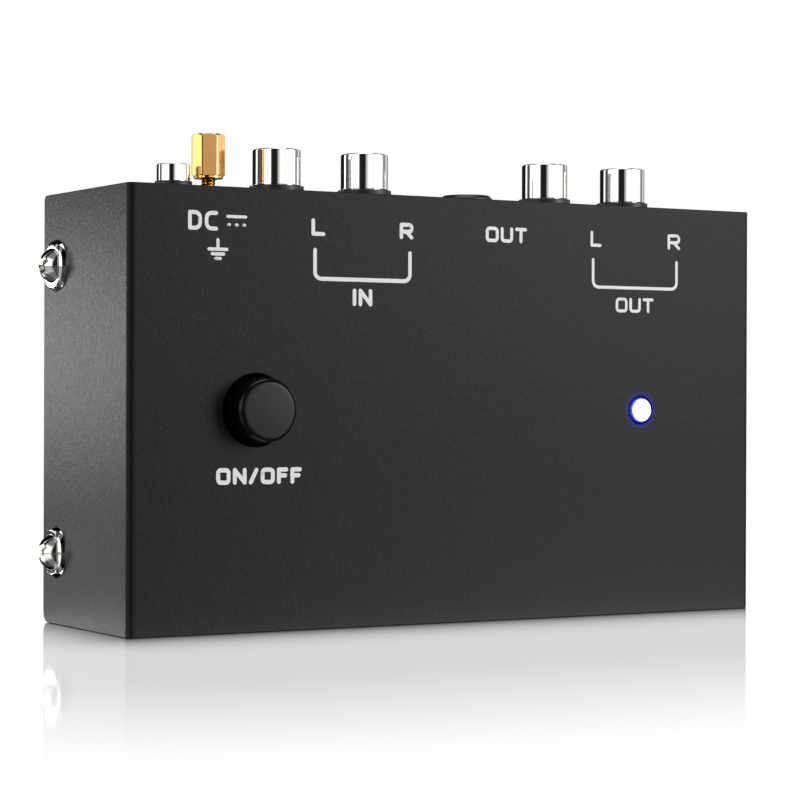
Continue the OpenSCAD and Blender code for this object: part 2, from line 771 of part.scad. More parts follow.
module stereo_sleeve_spring() {
    on_panel(stereo_x) translate([0, 0, sleeve_leaf_z]) leaf(sleeve_leaf_l);
}

// ---------- power socket ----------

module power_jack_body() {
    slot_w = tail_w + 2 * tail_room;
    color("#161616") on_panel(power_x) difference() {
        union() {
            translate([-power_block_w / 2, -power_front, -power_block_l])
                cube([power_block_w, power_front + reach, power_block_l]);
            cylinder(d = power_collar_d, h = collar_top);
        }
        translate([0, 0, power_low]) cylinder(r = power_r + press_room, h = collar_top - power_low + 1);
        translate([0, 0, power_wall - power_block_l])
            cylinder(r = power_rear_r, h = power_block_l - power_wall + power_low + eps);
        for (z = [power_low, power_wall - power_block_l]) translate([-slot_w / 2, 0, z])
            cube([slot_w, reach + 1, tail_t + tail_room]);
    }
}

module power_jack_barrel() {
    rim = 0.3;
    top = sheet_t + power_proud;
    color("#dddddd") on_panel(power_x) difference() {
        union() {
            turned([[0, power_low], [power_r, power_low], [power_r, top - rim], [power_r - rim, top],
                [0, top]]);
            tail(0, power_r - 0.5, power_low);
        }
        translate([0, 0, power_low - 1]) cylinder(d = power_bore_d, h = top - power_low + 2);
        translate([0, 0, power_low - 1]) cylinder(r = power_step_r, h = collar_top - power_low + 1);
    }
}

module power_tip_spring() {
    color("#c7c9cc") on_panel(power_x) translate([0, 0, power_wall - power_block_l]) {
        tail(0, power_finger_y, 0);
        translate([-tail_w / 2, power_finger_y, 0]) cube([tail_w, power_finger_t, power_finger_l]);
    }
}

// ---------- ground terminal ----------

module ground_screw() {
    color("#c9a24e") on_panel(ground_x) translate([0, 0, -lug_t])
        pan_screw(ground_screw_d, ground_top + lug_t, ground_head_d, ground_head_h);
}

module ground_lug() {
    color("#c9c4b4") on_panel(ground_x) translate([0, 0, -lug_t]) difference() {
        union() {
            cylinder(d = lug_d, h = lug_t);
            translate([-lug_tail_w / 2, 0, 0]) cube([lug_tail_w, wire_y + wire_d, lug_t]);
        }
        translate([0, 0, -1]) cylinder(r = ground_r + screw_room, h = lug_t + 2);
    }
}

module ground_wire() {
    color("#1f6b34") on_panel(ground_x) translate([0, wire_y, -lug_t]) {
        translate([0, 0, -wire_drop]) cylinder(d = wire_d, h = wire_drop);
        translate([0, wire_bend_r, -wire_drop]) rotate([-90, 0, -90]) rotate_extrude(angle = 90)
            translate([wire_bend_r, 0]) circle(d = wire_d);
        translate([0, wire_bend_r, -wire_drop - wire_bend_r]) rotate([-90, 0, 0])
            cylinder(d = wire_d, h = tail_reach - wire_y - wire_bend_r);
    }
}

module ground_washer() {
    color("#b98a3c") on_panel(ground_x) translate([0, 0, ground_washer_z]) difference() {
        cylinder(d = ground_nut_af, h = ground_washer_t);
        translate([0, 0, -1]) cylinder(r = ground_r + screw_room, h = ground_washer_t + 2);
    }
}

module ground_nut() {
    corner_r = ground_nut_af / cos(30) / 2;
    end_r = corner_r - ground_nut_bevel;
    color("#d3a44c") on_panel(ground_x) translate([0, 0, ground_nut_z]) rotate(ground_nut_angle) difference() {
        intersection() {
            cylinder(r = corner_r, h = ground_nut_h, $fn = 6);
            turned([[0, 0], [end_r, 0], [corner_r, ground_nut_bevel],
                [corner_r, ground_nut_h - ground_nut_bevel], [end_r, ground_nut_h], [0, ground_nut_h]]);
        }
        translate([0, 0, -1]) cylinder(r = ground_r + thread_gap, h = ground_bore_l + 1);
    }
}

// ---------- power button and switch ----------

module power_button() {
    socket_w = stem_w + 2 * socket_room;
    skirt_y = face_in + button_skirt_gap - button_front;
    color("#101010") translate([button_x, button_front, button_z]) rotate([-90, 0, 0]) difference() {
        turned([[0, 0], [button_r - button_bevel, 0], [button_r, button_bevel], [button_r, skirt_y],
            [button_skirt_r, skirt_y], [button_skirt_r, skirt_y + button_skirt_t],
            [button_r, skirt_y + button_skirt_t], [button_r, button_l], [0, button_l]]);
        translate([-socket_w / 2, -socket_w / 2, button_l - socket_l])
            cube([socket_w, socket_w, socket_l + 1]);
    }
}

module switch_stem() {
    start = button_rear - socket_l + 0.2;
    stop_y = switch_front + switch_wall + stem_room;
    color("#e8e8e2") translate([button_x, 0, button_z]) {
        translate([-stem_w / 2, start, -stem_w / 2]) cube([stem_w, stop_y - start + eps, stem_w]);
        translate([-foot_w / 2, stop_y, -foot_w / 2]) cube([foot_w, stem_foot_l, foot_w]);
    }
}

module switch_body() {
    channel = foot_w + 2 * stem_room;
    mouth = stem_w + 2 * stem_room;
    depth = board_face - switch_front;
    color("#20242c") translate([button_x, switch_front, button_z]) difference() {
        translate([-switch_w / 2, 0, -switch_w / 2]) cube([switch_w, depth, switch_w]);
        translate([-mouth / 2, -1, -mouth / 2]) cube([mouth, switch_wall + 2, mouth]);
        translate([-channel / 2, switch_wall, -channel / 2])
            cube([channel, depth - 2 * switch_wall, channel]);
    }
}

// Coil spring around the stem, between the cap and the switch body
module switch_spring() {
    length = switch_front - button_rear - 2 * spring_seat;
    steps = 16;
    sides = 8;
    wire_r = spring_wire_d / 2;
    rings = spring_turns * steps;
    rise = length - spring_wire_d;
    points = [for (i = [0:rings]) let (a = 360 * i / steps, z = wire_r + rise * i / rings)
        for (k = [0:sides - 1]) let (b = 360 * k / sides, r = spring_r + wire_r * cos(b))
            [r * cos(a), r * sin(a), z + wire_r * sin(b)]];
    sides_of = [for (i = [0:rings - 1], k = [0:sides - 1]) let (n = (k + 1) % sides)
        [i * sides + k, i * sides + n, (i + 1) * sides + n, (i + 1) * sides + k]];
    ends = [[for (k = [sides - 1:-1:0]) k], [for (k = [0:sides - 1]) rings * sides + k]];
    color("#b9bcc0") translate([button_x, button_rear + spring_seat, button_z]) rotate([-90, 0, 0])
        polyhedron(points, concat(sides_of, ends));
}

module switch_pins() {
    color("#c9cccf") for (side = pair, i = [-1:1])
        rod_y(button_x + side * switch_pin_row / 2, button_z + i * switch_pin_pitch, switch_pin_r,
            board_face, board_back + lead_tip);
}

// ---------- light ----------

module led_lens() {
    color("#7f9cff") translate([led_x, led_base, led_z]) rotate([90, 0, 0]) rotate_extrude() {
        square([led_rim_r, led_rim_t]);
        square([led_r, led_l - led_r]);
        translate([0, led_l - led_r]) intersection() {
            square(led_r);
            circle(led_r);
        }
    }
}

module led_leads() {
    color("#c9cccf") for (side = pair)
        rod_y(led_x + side * led_lead_pitch / 2, led_z, led_lead_r, led_base, board_back + lead_tip);
}

// ---------- output ----------

cover();
chassis();
cover_screws();
cover_screw_washers();
rubber_feet();
main_board();
board_standoffs();
board_screws();
on_panel(rca_xs[0]) rca_body();  // input_left_body
on_panel(rca_xs[0]) rca_barrel();  // input_left_barrel
on_panel(rca_xs[0]) rca_insulator("#f2f2ee");  // input_left_insulator
on_panel(rca_xs[0]) rca_contact();  // input_left_contact
on_panel(rca_xs[1]) rca_body();  // input_right_body
on_panel(rca_xs[1]) rca_barrel();  // input_right_barrel
on_panel(rca_xs[1]) rca_insulator("#b01818");  // input_right_insulator
on_panel(rca_xs[1]) rca_contact();  // input_right_contact
on_panel(rca_xs[2]) rca_body();  // output_left_body
on_panel(rca_xs[2]) rca_barrel();  // output_left_barrel
on_panel(rca_xs[2]) rca_insulator("#f2f2ee");  // output_left_insulator
on_panel(rca_xs[2]) rca_contact();  // output_left_contact
on_panel(rca_xs[3]) rca_body();  // output_right_body
on_panel(rca_xs[3]) rca_barrel();  // output_right_barrel
on_panel(rca_xs[3]) rca_insulator("#b01818");  // output_right_insulator
on_panel(rca_xs[3]) rca_contact();  // output_right_contact
stereo_jack_body();
stereo_tip_spring();
stereo_ring_spring();
stereo_sleeve_spring();
power_jack_body();
power_jack_barrel();
power_tip_spring();
ground_screw();
ground_lug();
ground_wire();
ground_washer();
ground_nut();
power_button();
switch_stem();
switch_body();
switch_spring();
switch_pins();
led_lens();
led_leads();
electrolytic_capacitors();
film_capacitors();
ceramic_capacitors();
resistors();
rectifier_diode();
op_amps();
voltage_regulator();
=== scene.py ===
"""A small phono preamplifier in a folded, powder-coated steel case, dressed for a studio picture.

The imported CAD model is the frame. Each sub-assembly below is a class that reads its places from
the frame, works its surfaces out as numpy arrays and gives each piece the finish of the real one.
Lengths are written in millimetres and become metres when a mesh is made.
"""
import logging
import math
from dataclasses import dataclass
from enum import Enum
from typing import Any, Iterable, Sequence

import bmesh
import bpy
import numpy as np
from mathutils import Matrix, Vector
from mathutils.geometry import delaunay_2d_cdt


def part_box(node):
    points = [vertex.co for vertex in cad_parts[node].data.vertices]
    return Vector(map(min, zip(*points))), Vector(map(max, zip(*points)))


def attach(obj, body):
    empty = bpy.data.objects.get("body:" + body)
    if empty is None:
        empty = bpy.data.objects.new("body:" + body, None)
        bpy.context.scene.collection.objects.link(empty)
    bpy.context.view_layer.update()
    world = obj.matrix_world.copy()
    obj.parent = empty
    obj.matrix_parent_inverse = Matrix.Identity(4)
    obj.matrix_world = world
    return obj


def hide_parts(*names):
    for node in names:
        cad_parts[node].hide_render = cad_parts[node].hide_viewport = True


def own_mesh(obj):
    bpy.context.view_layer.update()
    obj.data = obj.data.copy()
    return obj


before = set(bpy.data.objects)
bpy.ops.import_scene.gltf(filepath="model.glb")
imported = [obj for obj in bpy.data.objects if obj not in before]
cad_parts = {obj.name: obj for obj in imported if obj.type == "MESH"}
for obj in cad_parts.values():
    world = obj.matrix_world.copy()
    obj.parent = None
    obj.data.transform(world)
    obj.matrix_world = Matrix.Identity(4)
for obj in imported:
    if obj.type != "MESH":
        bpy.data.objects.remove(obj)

Tree = bpy.types.NodeTree
Node = bpy.types.Node
Socket = bpy.types.NodeSocket
Place = Sequence[float]
Rows = Sequence[Sequence[float]]

LOG = logging.getLogger("preamp")
MM = 0.001
TAU = 2.0 * math.pi
WHITE = (1.0, 1.0, 1.0, 1.0)
# Points of a mesh that are nearer than this are made one.
MERGE = 0.0005
# A point of a node's mesh that is nearer to a plane than this lies in it.
NEAR = 0.01
# Faces that differ by less than this many degrees are in one plane.
FLAT = 0.5
# Width of the band of even net round each hole of a sheet.
HOLE_BAND = 0.5
# The kinds of Delaunay net, all of it or only what lies inside the outer loop, and how near its points
# may be in a sheet and in the ink.
NET_WHOLE, NET_INSIDE = 0, 1
SHEET_CLOSE, INK_CLOSE = 1e-6, 1e-5
# A band texture of scale one repeats each twentieth of a full turn.
BAND = TAU / 20.0


class Body(Enum):
    """The bodies of the frame that a piece can ride on."""

    CASE = "case"
    BUTTON = "power_button"
    WASHER = "ground_washer"
    NUT = "ground_nut"


class Facing(Enum):
    """Where a turned part's own upward axis points, as the three columns of its turn."""

    UP = ((1, 0, 0), (0, 1, 0), (0, 0, 1))
    FRONT = ((1, 0, 0), (0, 0, 1), (0, -1, 0))
    BACK = ((-1, 0, 0), (0, 0, 1), (0, 1, 0))
    LEFT = ((0, -1, 0), (0, 0, 1), (-1, 0, 0))
    RIGHT = ((0, 1, 0), (0, 0, 1), (1, 0, 0))


# ---------- shapes ----------


@dataclass
class Shape:
    """A surface: points in millimetres, and faces as rows of three or more point numbers."""

    points: np.ndarray
    faces: list

    def placed(self, facing: Facing, at: Place) -> "Shape":
        """The shape with its upward axis turned to a facing, then moved: p goes to turn * p + at."""
        return Shape(self.points @ np.array(facing.value, float) + np.array(at, float), self.faces)


def joined(shapes: Iterable[Shape]) -> Shape:
    """One shape that holds several, each kept as it is.

    Args:
        shapes: The shapes, at least one.

    Returns:
        All points in order, with the face numbers shifted to match.
    """
    shapes = list(shapes)
    starts = np.cumsum([0] + [len(s.points) for s in shapes])
    faces = [[int(i) + start for i in face] for s, start in zip(shapes, starts) for face in s.faces]
    return Shape(np.vstack([s.points for s in shapes]), faces)


def grid(points: np.ndarray, wrap: bool = False) -> Shape:
    """A surface of two parameters on a grid.

    Args:
        points: Array of rows x columns x 3.
        wrap: Whether the last column joins the first.

    Returns:
        Its points, and one quad between each two rows and columns.
    """
    rows, cols = points.shape[:2]
    number = np.arange(rows * cols).reshape(rows, cols)
    if wrap:
        number = np.hstack([number, number[:, :1]])
    quads = np.stack([number[:-1, :-1], number[:-1, 1:], number[1:, 1:], number[1:, :-1]], axis=-1)
    return Shape(points.reshape(-1, 3), quads.reshape(-1, 4).tolist())


def turned(radii: np.ndarray, heights: np.ndarray | Place, sides: int = 96) -> Shape:
    """A turned surface: the point (r, h) of a profile goes to (r cos a, r sin a, h).

    Args:
        radii: Radius of each profile point, or a row of radii, one for each angle.
        heights: Height of each profile point, or a row of heights.
        sides: Number of angles a.

    Returns:
        The surface. A profile point with radius zero closes it as a pole.
    """
    angle = np.linspace(0.0, TAU, sides, endpoint=False)
    radii = np.broadcast_to(np.asarray(radii, float).reshape(len(radii), -1), (len(radii), sides))
    heights = np.broadcast_to(np.asarray(heights, float).reshape(len(heights), -1), radii.shape)
    return grid(np.stack([radii * np.cos(angle), radii * np.sin(angle), heights], axis=-1), wrap=True)


def eased(corners: Rows, closed: bool = False, steps: int = 4) -> np.ndarray:
    """A line through corners (x, y, r), each swapped for an arc of radius r.

    The arc touches both sides at r / tan(half the corner's angle) from the corner, and its centre
    lies on the halving line at r / sin(half the angle).

    Args:
        corners: Corner places with their radii. A radius of zero keeps a sharp corner.
        closed: Whether the last corner joins the first.
        steps: Straight pieces in each arc.

    Returns:
        The line's points, one row each.
    """
    places = np.array([c[:2] for c in corners], float)
    line = []
    for i, (here, (*_, radius)) in enumerate(zip(places, corners)):
        if radius <= 0 or (not closed and i in (0, len(places) - 1)):
            line.append(here[None])
            continue
        back = places[i - 1] - here
        ahead = places[(i + 1) % len(places)] - here
        back /= np.linalg.norm(back)
        ahead /= np.linalg.norm(ahead)
        half = 0.5 * math.acos(float(np.clip(back @ ahead, -1.0, 1.0)))
        middle = (back + ahead) / np.linalg.norm(back + ahead)
        centre = here + middle * radius / math.sin(half)
        first = here + back * radius / math.tan(half) - centre
        last = here + ahead * radius / math.tan(half) - centre
        start = math.atan2(first[1], first[0])
        sweep = (math.atan2(last[1], last[0]) - start + math.pi) % TAU - math.pi
        angle = start + sweep * np.linspace(0.0, 1.0, steps + 1)
        line.append(centre + radius * np.stack([np.cos(angle), np.sin(angle)], axis=-1))
    return np.vstack(line)


def turned_ring(corners: Rows, sides: int = 96) -> Shape:
    """A hollow turned part: a closed profile of eased corners (radius, height, easing) goes round."""
    profile = eased(corners, closed=True)
    return turned(*np.vstack([profile, profile[:1]]).T, sides)


def block(low: Place, high: Place) -> Shape:
    """A box between two corners, as a grid of a square's four corners over two heights, with ends.

    Args:
        low: Its lowest corner.
        high: Its highest corner.

    Returns:
        The closed box.
    """
    (x0, y0, z0), (x1, y1, z1) = low, high
    ring = np.array([[x0, y0], [x1, y0], [x1, y1], [x0, y1]], float)
    walls = grid(np.stack([np.column_stack([ring, np.full(4, z)]) for z in (z0, z1)]), wrap=True)
    return Shape(walls.points, walls.faces + [[3, 2, 1, 0], [4, 5, 6, 7]])


def circle(x: float, y: float, radius: float, steps: int = 64) -> np.ndarray:
    """Points round a circle: (x + r cos a, y + r sin a)."""
    angle = np.linspace(0.0, TAU, steps, endpoint=False)
    return np.stack([x + radius * np.cos(angle), y + radius * np.sin(angle)], axis=-1)


def outside_holes(points: np.ndarray, holes: Rows, room: float = 0.0) -> np.ndarray:
    """Which points p of a blank lie outside all of its round holes (u, v, r): |p - (u, v)| > r + room."""
    u, v, radius = np.array(holes, float).T
    return (np.hypot(points[:, :1] - u, points[:, 1:2] - v) > radius + room).all(axis=1)


def lattice(outline: np.ndarray, holes: Rows, folds: np.ndarray, pitch: float = 6.0,
            room: float = 1.4) -> np.ndarray:
    """A square lattice of points inside a blank, clear of its edge, its holes and its fold lines.

    Args:
        outline: The blank's edge.
        holes: Round holes (u, v, radius).
        folds: Fold lines, rows of (u, v) in pairs.
        pitch: Distance between the points.
        room: Least distance from an edge, a hole or a fold line.

    Returns:
        The points, one row each. They keep the net's triangles short.
    """
    low, high = outline.min(axis=0) + room, outline.max(axis=0) - room
    steps = [np.linspace(a, b, max(2, int((b - a) / pitch) + 1)) for a, b in zip(low, high)]
    points = np.stack(np.meshgrid(*steps, indexing="ij"), axis=-1).reshape(-1, 2)
    kept = outside_holes(points, holes, room)
    if len(folds):
        kept &= np.abs(points[:, :1] - folds[None, ::2, 0]).min(axis=1) > room
    return points[kept]


def cut_sheet(outline: np.ndarray, holes: Rows, folds: np.ndarray) -> Shape:
    """A flat blank with round holes, as the triangles of a constrained Delaunay net.

    Args:
        outline: The blank's edge, one point (u, v) a row.
        holes: Round holes (u, v, radius).
        folds: Lines to keep as edges, rows of (u, v) in pairs.

    Returns:
        The blank in the plane z = 0, facing +Z. Triangles whose middle lies in a hole are dropped. A
        wider circle round each hole keeps the net even beside its rim, for a clean bevel.
    """
    loops = [outline]
    loops += [circle(u, v, radius + wider) for u, v, radius in holes for wider in (0.0, HOLE_BAND)]
    starts = [int(n) for n in np.cumsum([0] + [len(loop) for loop in loops])]
    edges = [(start + i, start + (i + 1) % len(loop)) for loop, start in zip(loops, starts)
             for i in range(len(loop))]
    edges += [(starts[-1] + i, starts[-1] + i + 1) for i in range(0, len(folds), 2)]
    places = np.vstack(loops + [folds, lattice(outline, holes, folds)])
    net = delaunay_2d_cdt([Vector(p) for p in places], edges, [], NET_INSIDE, SHEET_CLOSE)
    points, faces = np.array([(v.x, v.y) for v in net[0]]), np.array(net[2])
    kept = outside_holes(points[faces].mean(axis=1), holes)
    return Shape(np.column_stack([points, np.zeros(len(points))]), faces[kept].tolist())


@dataclass
class Fold:
    """A channel folded from one sheet: a web with a leg at each side, by its outer skin."""

    web: float
    leg: float
    span: float
    radius: float
    steps: int = 8
    support: float = 0.35

    @property
    def flat(self) -> float:
        """Half of the web's flat stretch."""
        return self.web / 2 - self.radius

    @property
    def bend(self) -> float:
        """Length of the outer skin round one fold."""
        return self.radius * math.pi / 2

    def on_leg(self, side: int, depth: float) -> float:
        """Place u on the blank of a point on a leg, that far behind the web's outer skin."""
        return side * (self.flat + self.bend + depth - self.radius)

    def lines(self) -> np.ndarray:
        """Lines along the folds, close together in each bend, with one just outside at each end.

        Returns:
            The lines' ends (u, v), in pairs.
        """
        bend = self.flat + self.bend * np.linspace(0.0, 1.0, self.steps + 1)
        places = np.concatenate([[self.flat - self.support], bend, [bend[-1] + self.support]])
        ends = [[(side * u, 0.0), (side * u, self.span)] for side in (-1, 1) for u in places]
        return np.array(ends).reshape(-1, 2)

    def folded(self, blank: np.ndarray) -> tuple[np.ndarray, np.ndarray, np.ndarray]:
        """Folds the blank: a bend's arc length s past the flat turns to the angle s / r.

        Args:
            blank: Points (u, v).

        Returns:
            Place along the web, depth behind its outer skin, and place along the fold.
        """
        out = np.abs(blank[:, 0])
        angle = np.clip(out - self.flat, 0.0, self.bend) / self.radius
        straight = np.clip(out - self.flat - self.bend, 0.0, None)
        along = np.minimum(out, self.flat) + self.radius * np.sin(angle)
        depth = self.radius * (1.0 - np.cos(angle)) + straight
        return np.sign(blank[:, 0]) * along, depth, blank[:, 1]


@dataclass
class PanHead:
    """A pan head screw with a cross recess: the underside of its head at zero, its shank below.

    The recess's bars are as wide as puts their corners on a ray, and its walls lean in to a share of
    its edge at the floor.
    """

    radius: float
    height: float
    shank: float
    length: float
    # Shares of the height: the dome's rise and the recess's floor.
    rise: float = 0.53
    floor: float = 0.25
    # Shares of the radius, the dome's edge and a bar of the recess, and of the bar at the floor.
    shoulder: float = 0.82
    bar: float = 0.62
    lean: float = 0.35
    corner_ray: float = 5.0
    # The floor's rise to its edge, the recess's lip, the land round it, the rim's side and the tip.
    dish: float = 0.05
    lip: float = 0.06
    land: float = 0.05
    side: float = 0.15
    point: float = 0.3
    rings: int = 14
    rays: int = 96

    def recess(self, twist: int) -> np.ndarray:
        """The recess's edge, a cross of two bars in polar form.

        The edge of a bar lies at the lesser of L / cos a and w / sin a, and the cross takes the larger
        of its two bars.

        Args:
            twist: Turn of the recess, in steps of one ray.

        Returns:
            The edge's radius on each ray.
        """
        angle = np.linspace(0.0, TAU, self.rays, endpoint=False)
        cosine, sine = np.maximum(np.abs([np.cos(angle), np.sin(angle)]), 1e-9)
        bar = self.bar * self.radius
        width = bar * math.tan(self.corner_ray * TAU / self.rays)
        cross = np.maximum(np.minimum(bar / cosine, width / sine), np.minimum(width / cosine, bar / sine))
        return np.roll(cross, twist)

    def shape(self, twist: int) -> Shape:
        """The screw. A tapered side leads up to the dome, whose height at r is top - R + sqrt(R^2 - r^2).

        Args:
            twist: Turn of the recess, in steps of one ray.

        Returns:
            The closed screw.
        """
        rise, shoulder = self.rise * self.height, self.shoulder * self.radius
        sphere = (shoulder * shoulder + rise * rise) / (2.0 * rise)
        cross, level = self.recess(twist), np.full(self.rays, self.floor * self.height)
        share = np.linspace(0.0, 1.0, self.rings)[:, None]
        dome = (cross + self.land) * (1.0 - share) + shoulder * share
        dome_height = self.height - sphere + np.sqrt(sphere ** 2 - dome ** 2)
        side = eased([(shoulder, self.height - rise, 0), (self.radius, self.side, 0.08),
                      (self.radius, 0, 0.06), (self.shank, 0, 0), (self.shank, self.point - self.length, 0),
                      (self.shank - self.point, -self.length, 0), (0, -self.length, 0)])
        side = side[1:, :, None] * np.ones(self.rays)
        rows = np.vstack([0.0 * cross, self.lean * cross, cross, dome, side[:, 0]])
        levels = np.vstack([level, level + self.dish, dome_height[0] - self.lip, dome_height, side[:, 1]])
        return turned(rows, levels, self.rays)


def coil(radius: float, wire: float, length: float, turns: int, steps: int = 40, facets: int = 14) -> Shape:
    """A compression spring along Z from zero, as a round wire along a helix.

    The wire's centre line is (R cos a, R sin a, h). Its height h rises by one wire a turn in the
    closed coil at each end, and evenly between them. The wire closes in a pole at both ends.

    Args:
        radius: Radius R of the wire's centre line.
        wire: Thickness of the wire.
        length: Length of the spring.
        turns: Number of turns, the two closed ones among them.
        steps: Steps along one turn.
        facets: Sides of the wire.

    Returns:
        The closed wire.
    """
    turn = np.linspace(0.0, turns, steps * turns + 1)
    height = np.interp(turn, [0.0, 1.0, turns - 1.0, turns],
                       [wire / 2, 1.5 * wire, length - 1.5 * wire, length - wire / 2])
    turn, height = (np.concatenate([v[:1], v, v[-1:]])[:, None] for v in (turn, height))
    thick = np.full(len(turn), wire / 2)[:, None]
    thick[[0, -1]] = 0.0
    around = np.linspace(0.0, TAU, facets, endpoint=False)
    out = radius + thick * np.cos(around)
    return grid(np.stack([out * np.cos(TAU * turn), out * np.sin(TAU * turn),
                          height + thick * np.sin(around)], axis=-1), wrap=True)


# ---------- finishes ----------


def linear(code: str, share: float = 1.0) -> tuple[float, ...]:
    """Turns an sRGB hex colour such as #2b2b2b to a share of its linear light, with an alpha of one."""
    values = (int(code[i:i + 2], 16) / 255.0 for i in (1, 3, 5))
    return (*(share * (v / 12.92 if v <= 0.04045 else ((v + 0.055) / 1.055) ** 2.4) for v in values), 1.0)


def per_metre(size: float) -> float:
    """Texture scale whose features are that many millimetres apart."""
    return 1.0 / (size * MM)


def fill(tree: Tree, node: Node, inputs: dict) -> None:
    """Gives a node's inputs their values and links.

    Args:
        tree: The node tree.
        node: The node.
        inputs: For each input socket, by name or number, a value or the socket to link from.
    """
    for key, value in inputs.items():
        if isinstance(value, Socket):
            tree.links.new(value, node.inputs[key])
        else:
            node.inputs[key].default_value = value


def add_node(tree: Tree, kind: str, inputs: dict | None = None, **settings: Any) -> Node:
    """Adds a node with its settings, values and links.

    Args:
        tree: The node tree.
        kind: The node's type name, without ShaderNode in front.
        inputs: What its inputs get, as for fill.
        settings: The node's own properties.

    Returns:
        The node.
    """
    node = tree.nodes.new("ShaderNode" + kind)
    for name, value in settings.items():
        setattr(node, name, value)
    fill(tree, node, inputs or {})
    return node


def chain(tree: Tree, kind: str, value: Socket, *steps: Sequence) -> Socket:
    """Passes a value through a row of maths nodes.

    Args:
        tree: The node tree.
        kind: Math or VectorMath.
        value: What goes into the first.
        steps: For each node, its operation and its other inputs, if it has any.

    Returns:
        What comes out of the last.
    """
    for operation, *others in steps:
        node = add_node(tree, kind, dict(enumerate([value, *others])), operation=operation)
        value = node.outputs[1 if operation == "LENGTH" else 0]
    return value


def set_stops(ramp: Node, stops: Sequence[tuple]) -> None:
    """Gives a colour ramp its stops.

    Args:
        ramp: The ramp's node, new.
        stops: Each stop's place, from 0 to 1 in rising order, and its colour.
    """
    elements = ramp.color_ramp.elements
    for place, colour in stops[1:-1]:
        elements.new(place).color = colour
    elements[0].color, elements[-1].color = stops[0][1], stops[-1][1]


def off_axis(tree: Tree, place: Socket, x: float, z: float) -> Socket:
    """Distance in metres from an axis along Y at (x, z) in millimetres: sqrt((px - x)^2 + (pz - z)^2)."""
    moved = {"Vector": place, "Location": (-x * MM, 0.0, -z * MM), "Scale": (1.0, 0.0, 1.0)}
    return chain(tree, "VectorMath", add_node(tree, "Mapping", moved).outputs[0], ("LENGTH",))


def stripes(tree: Tree, place: Socket, axis: str, pitch: float, share: float) -> Socket:
    """Stripes across an axis, from a saw-tooth of the distance along it.

    Args:
        tree: The node tree.
        place: The object's own coordinates, in metres.
        axis: The axis, X, Y or Z.
        pitch: Distance between the stripes, in millimetres.
        share: A stripe's share of the pitch.

    Returns:
        One in a stripe and zero beside it.
    """
    saw = add_node(tree, "TexWave", {"Vector": place, "Scale": BAND * per_metre(pitch)}, wave_type="BANDS",
                   bands_direction=axis, wave_profile="SAW")
    return chain(tree, "Math", saw.outputs["Fac"], ("LESS_THAN", share))


@dataclass(frozen=True)
class Finish:
    """A surface finish: its name, and the record's material slot that it stands for."""

    name: str
    slot: str

    def material(self) -> bpy.types.Material:
        """The finish as a node material, made the first time it is asked for.

        Returns:
            The material.
        """
        material = bpy.data.materials.get(self.name)
        if material is None:
            material = bpy.data.materials.new(self.name)
            material.use_nodes = True
            tree = material.node_tree
            place = add_node(tree, "TexCoord").outputs["Object"]
            self.paint(tree, tree.nodes["Principled BSDF"], place)
        return material

    def paint(self, tree: Tree, shader: Node, place: Socket) -> None:
        """Sets the shader and its textures.

        Args:
            tree: The material's node tree.
            shader: Its Principled shader.
            place: The object's own coordinates, in metres.
        """
        raise NotImplementedError


@dataclass(frozen=True)
class Grained(Finish):
    """A finish whose grain shows as relief, and moves its gloss and its tone a little."""

    colour: str
    roughness: float
    grain: float
    relief: float
    depth: float = 0.02
    darker: float = 0.88

    def lay(self, tree: Tree, shader: Node, height: Socket, gloss: Socket, tone: Socket,
            swing: float) -> None:
        """Links a grain to the shader.

        Args:
            tree: The material's node tree.
            shader: Its Principled shader.
            height: Height of the grain.
            gloss: What moves the roughness by the swing, down at 0 and up at 1.
            tone: What darkens the colour, from 0 to 1.
            swing: How far the roughness goes up and down.
        """
        bump = add_node(tree, "Bump", {"Strength": self.relief, "Distance": self.depth * MM,
                                       "Height": height})
        rough = add_node(tree, "MapRange", {"Value": gloss, "To Min": self.roughness - swing,
                                            "To Max": self.roughness + swing})
        tint = add_node(tree, "Mix", {0: tone, 6: linear(self.colour), 7: linear(self.colour, self.darker)},
                        data_type="RGBA")
        fill(tree, shader, {"Base Color": tint.outputs[2], "Roughness": rough.outputs[0],
                            "Normal": bump.outputs[0]})


@dataclass(frozen=True)
class PowderCoat(Grained):
    """Baked fine-texture powder coat: a satin black with a small grain that breaks up every glint.

    The real grain is near 0.3 mm and is drawn twice as coarse, so that it shows.
    """

    colour: str = "#131313"
    roughness: float = 0.41
    grain: float = 0.7
    relief: float = 0.3
    depth: float = 0.1
    darker: float = 0.8
    swing: float = 0.05
    wave: float = 1.9
    wave_relief: float = 0.8
    ior: float = 1.25

    def paint(self, tree: Tree, shader: Node, place: Socket) -> None:
        """Adds two sizes of noise as relief, the finer one as gloss and the broader one as tone.

        Args:
            tree, shader, place: As for Finish.paint.
        """
        fine = add_node(tree, "TexNoise", {"Vector": place, "Scale": per_metre(self.grain), "Detail": 2.0,
                                           "Roughness": 0.55}).outputs[0]
        broad = add_node(tree, "TexNoise", {"Vector": place, "Scale": per_metre(self.wave),
                                            "Detail": 1.0}).outputs[0]
        height = chain(tree, "Math", broad, ("MULTIPLY_ADD", self.wave_relief, fine))
        self.lay(tree, shader, height, fine, broad, self.swing)
        shader.inputs["IOR"].default_value = self.ior


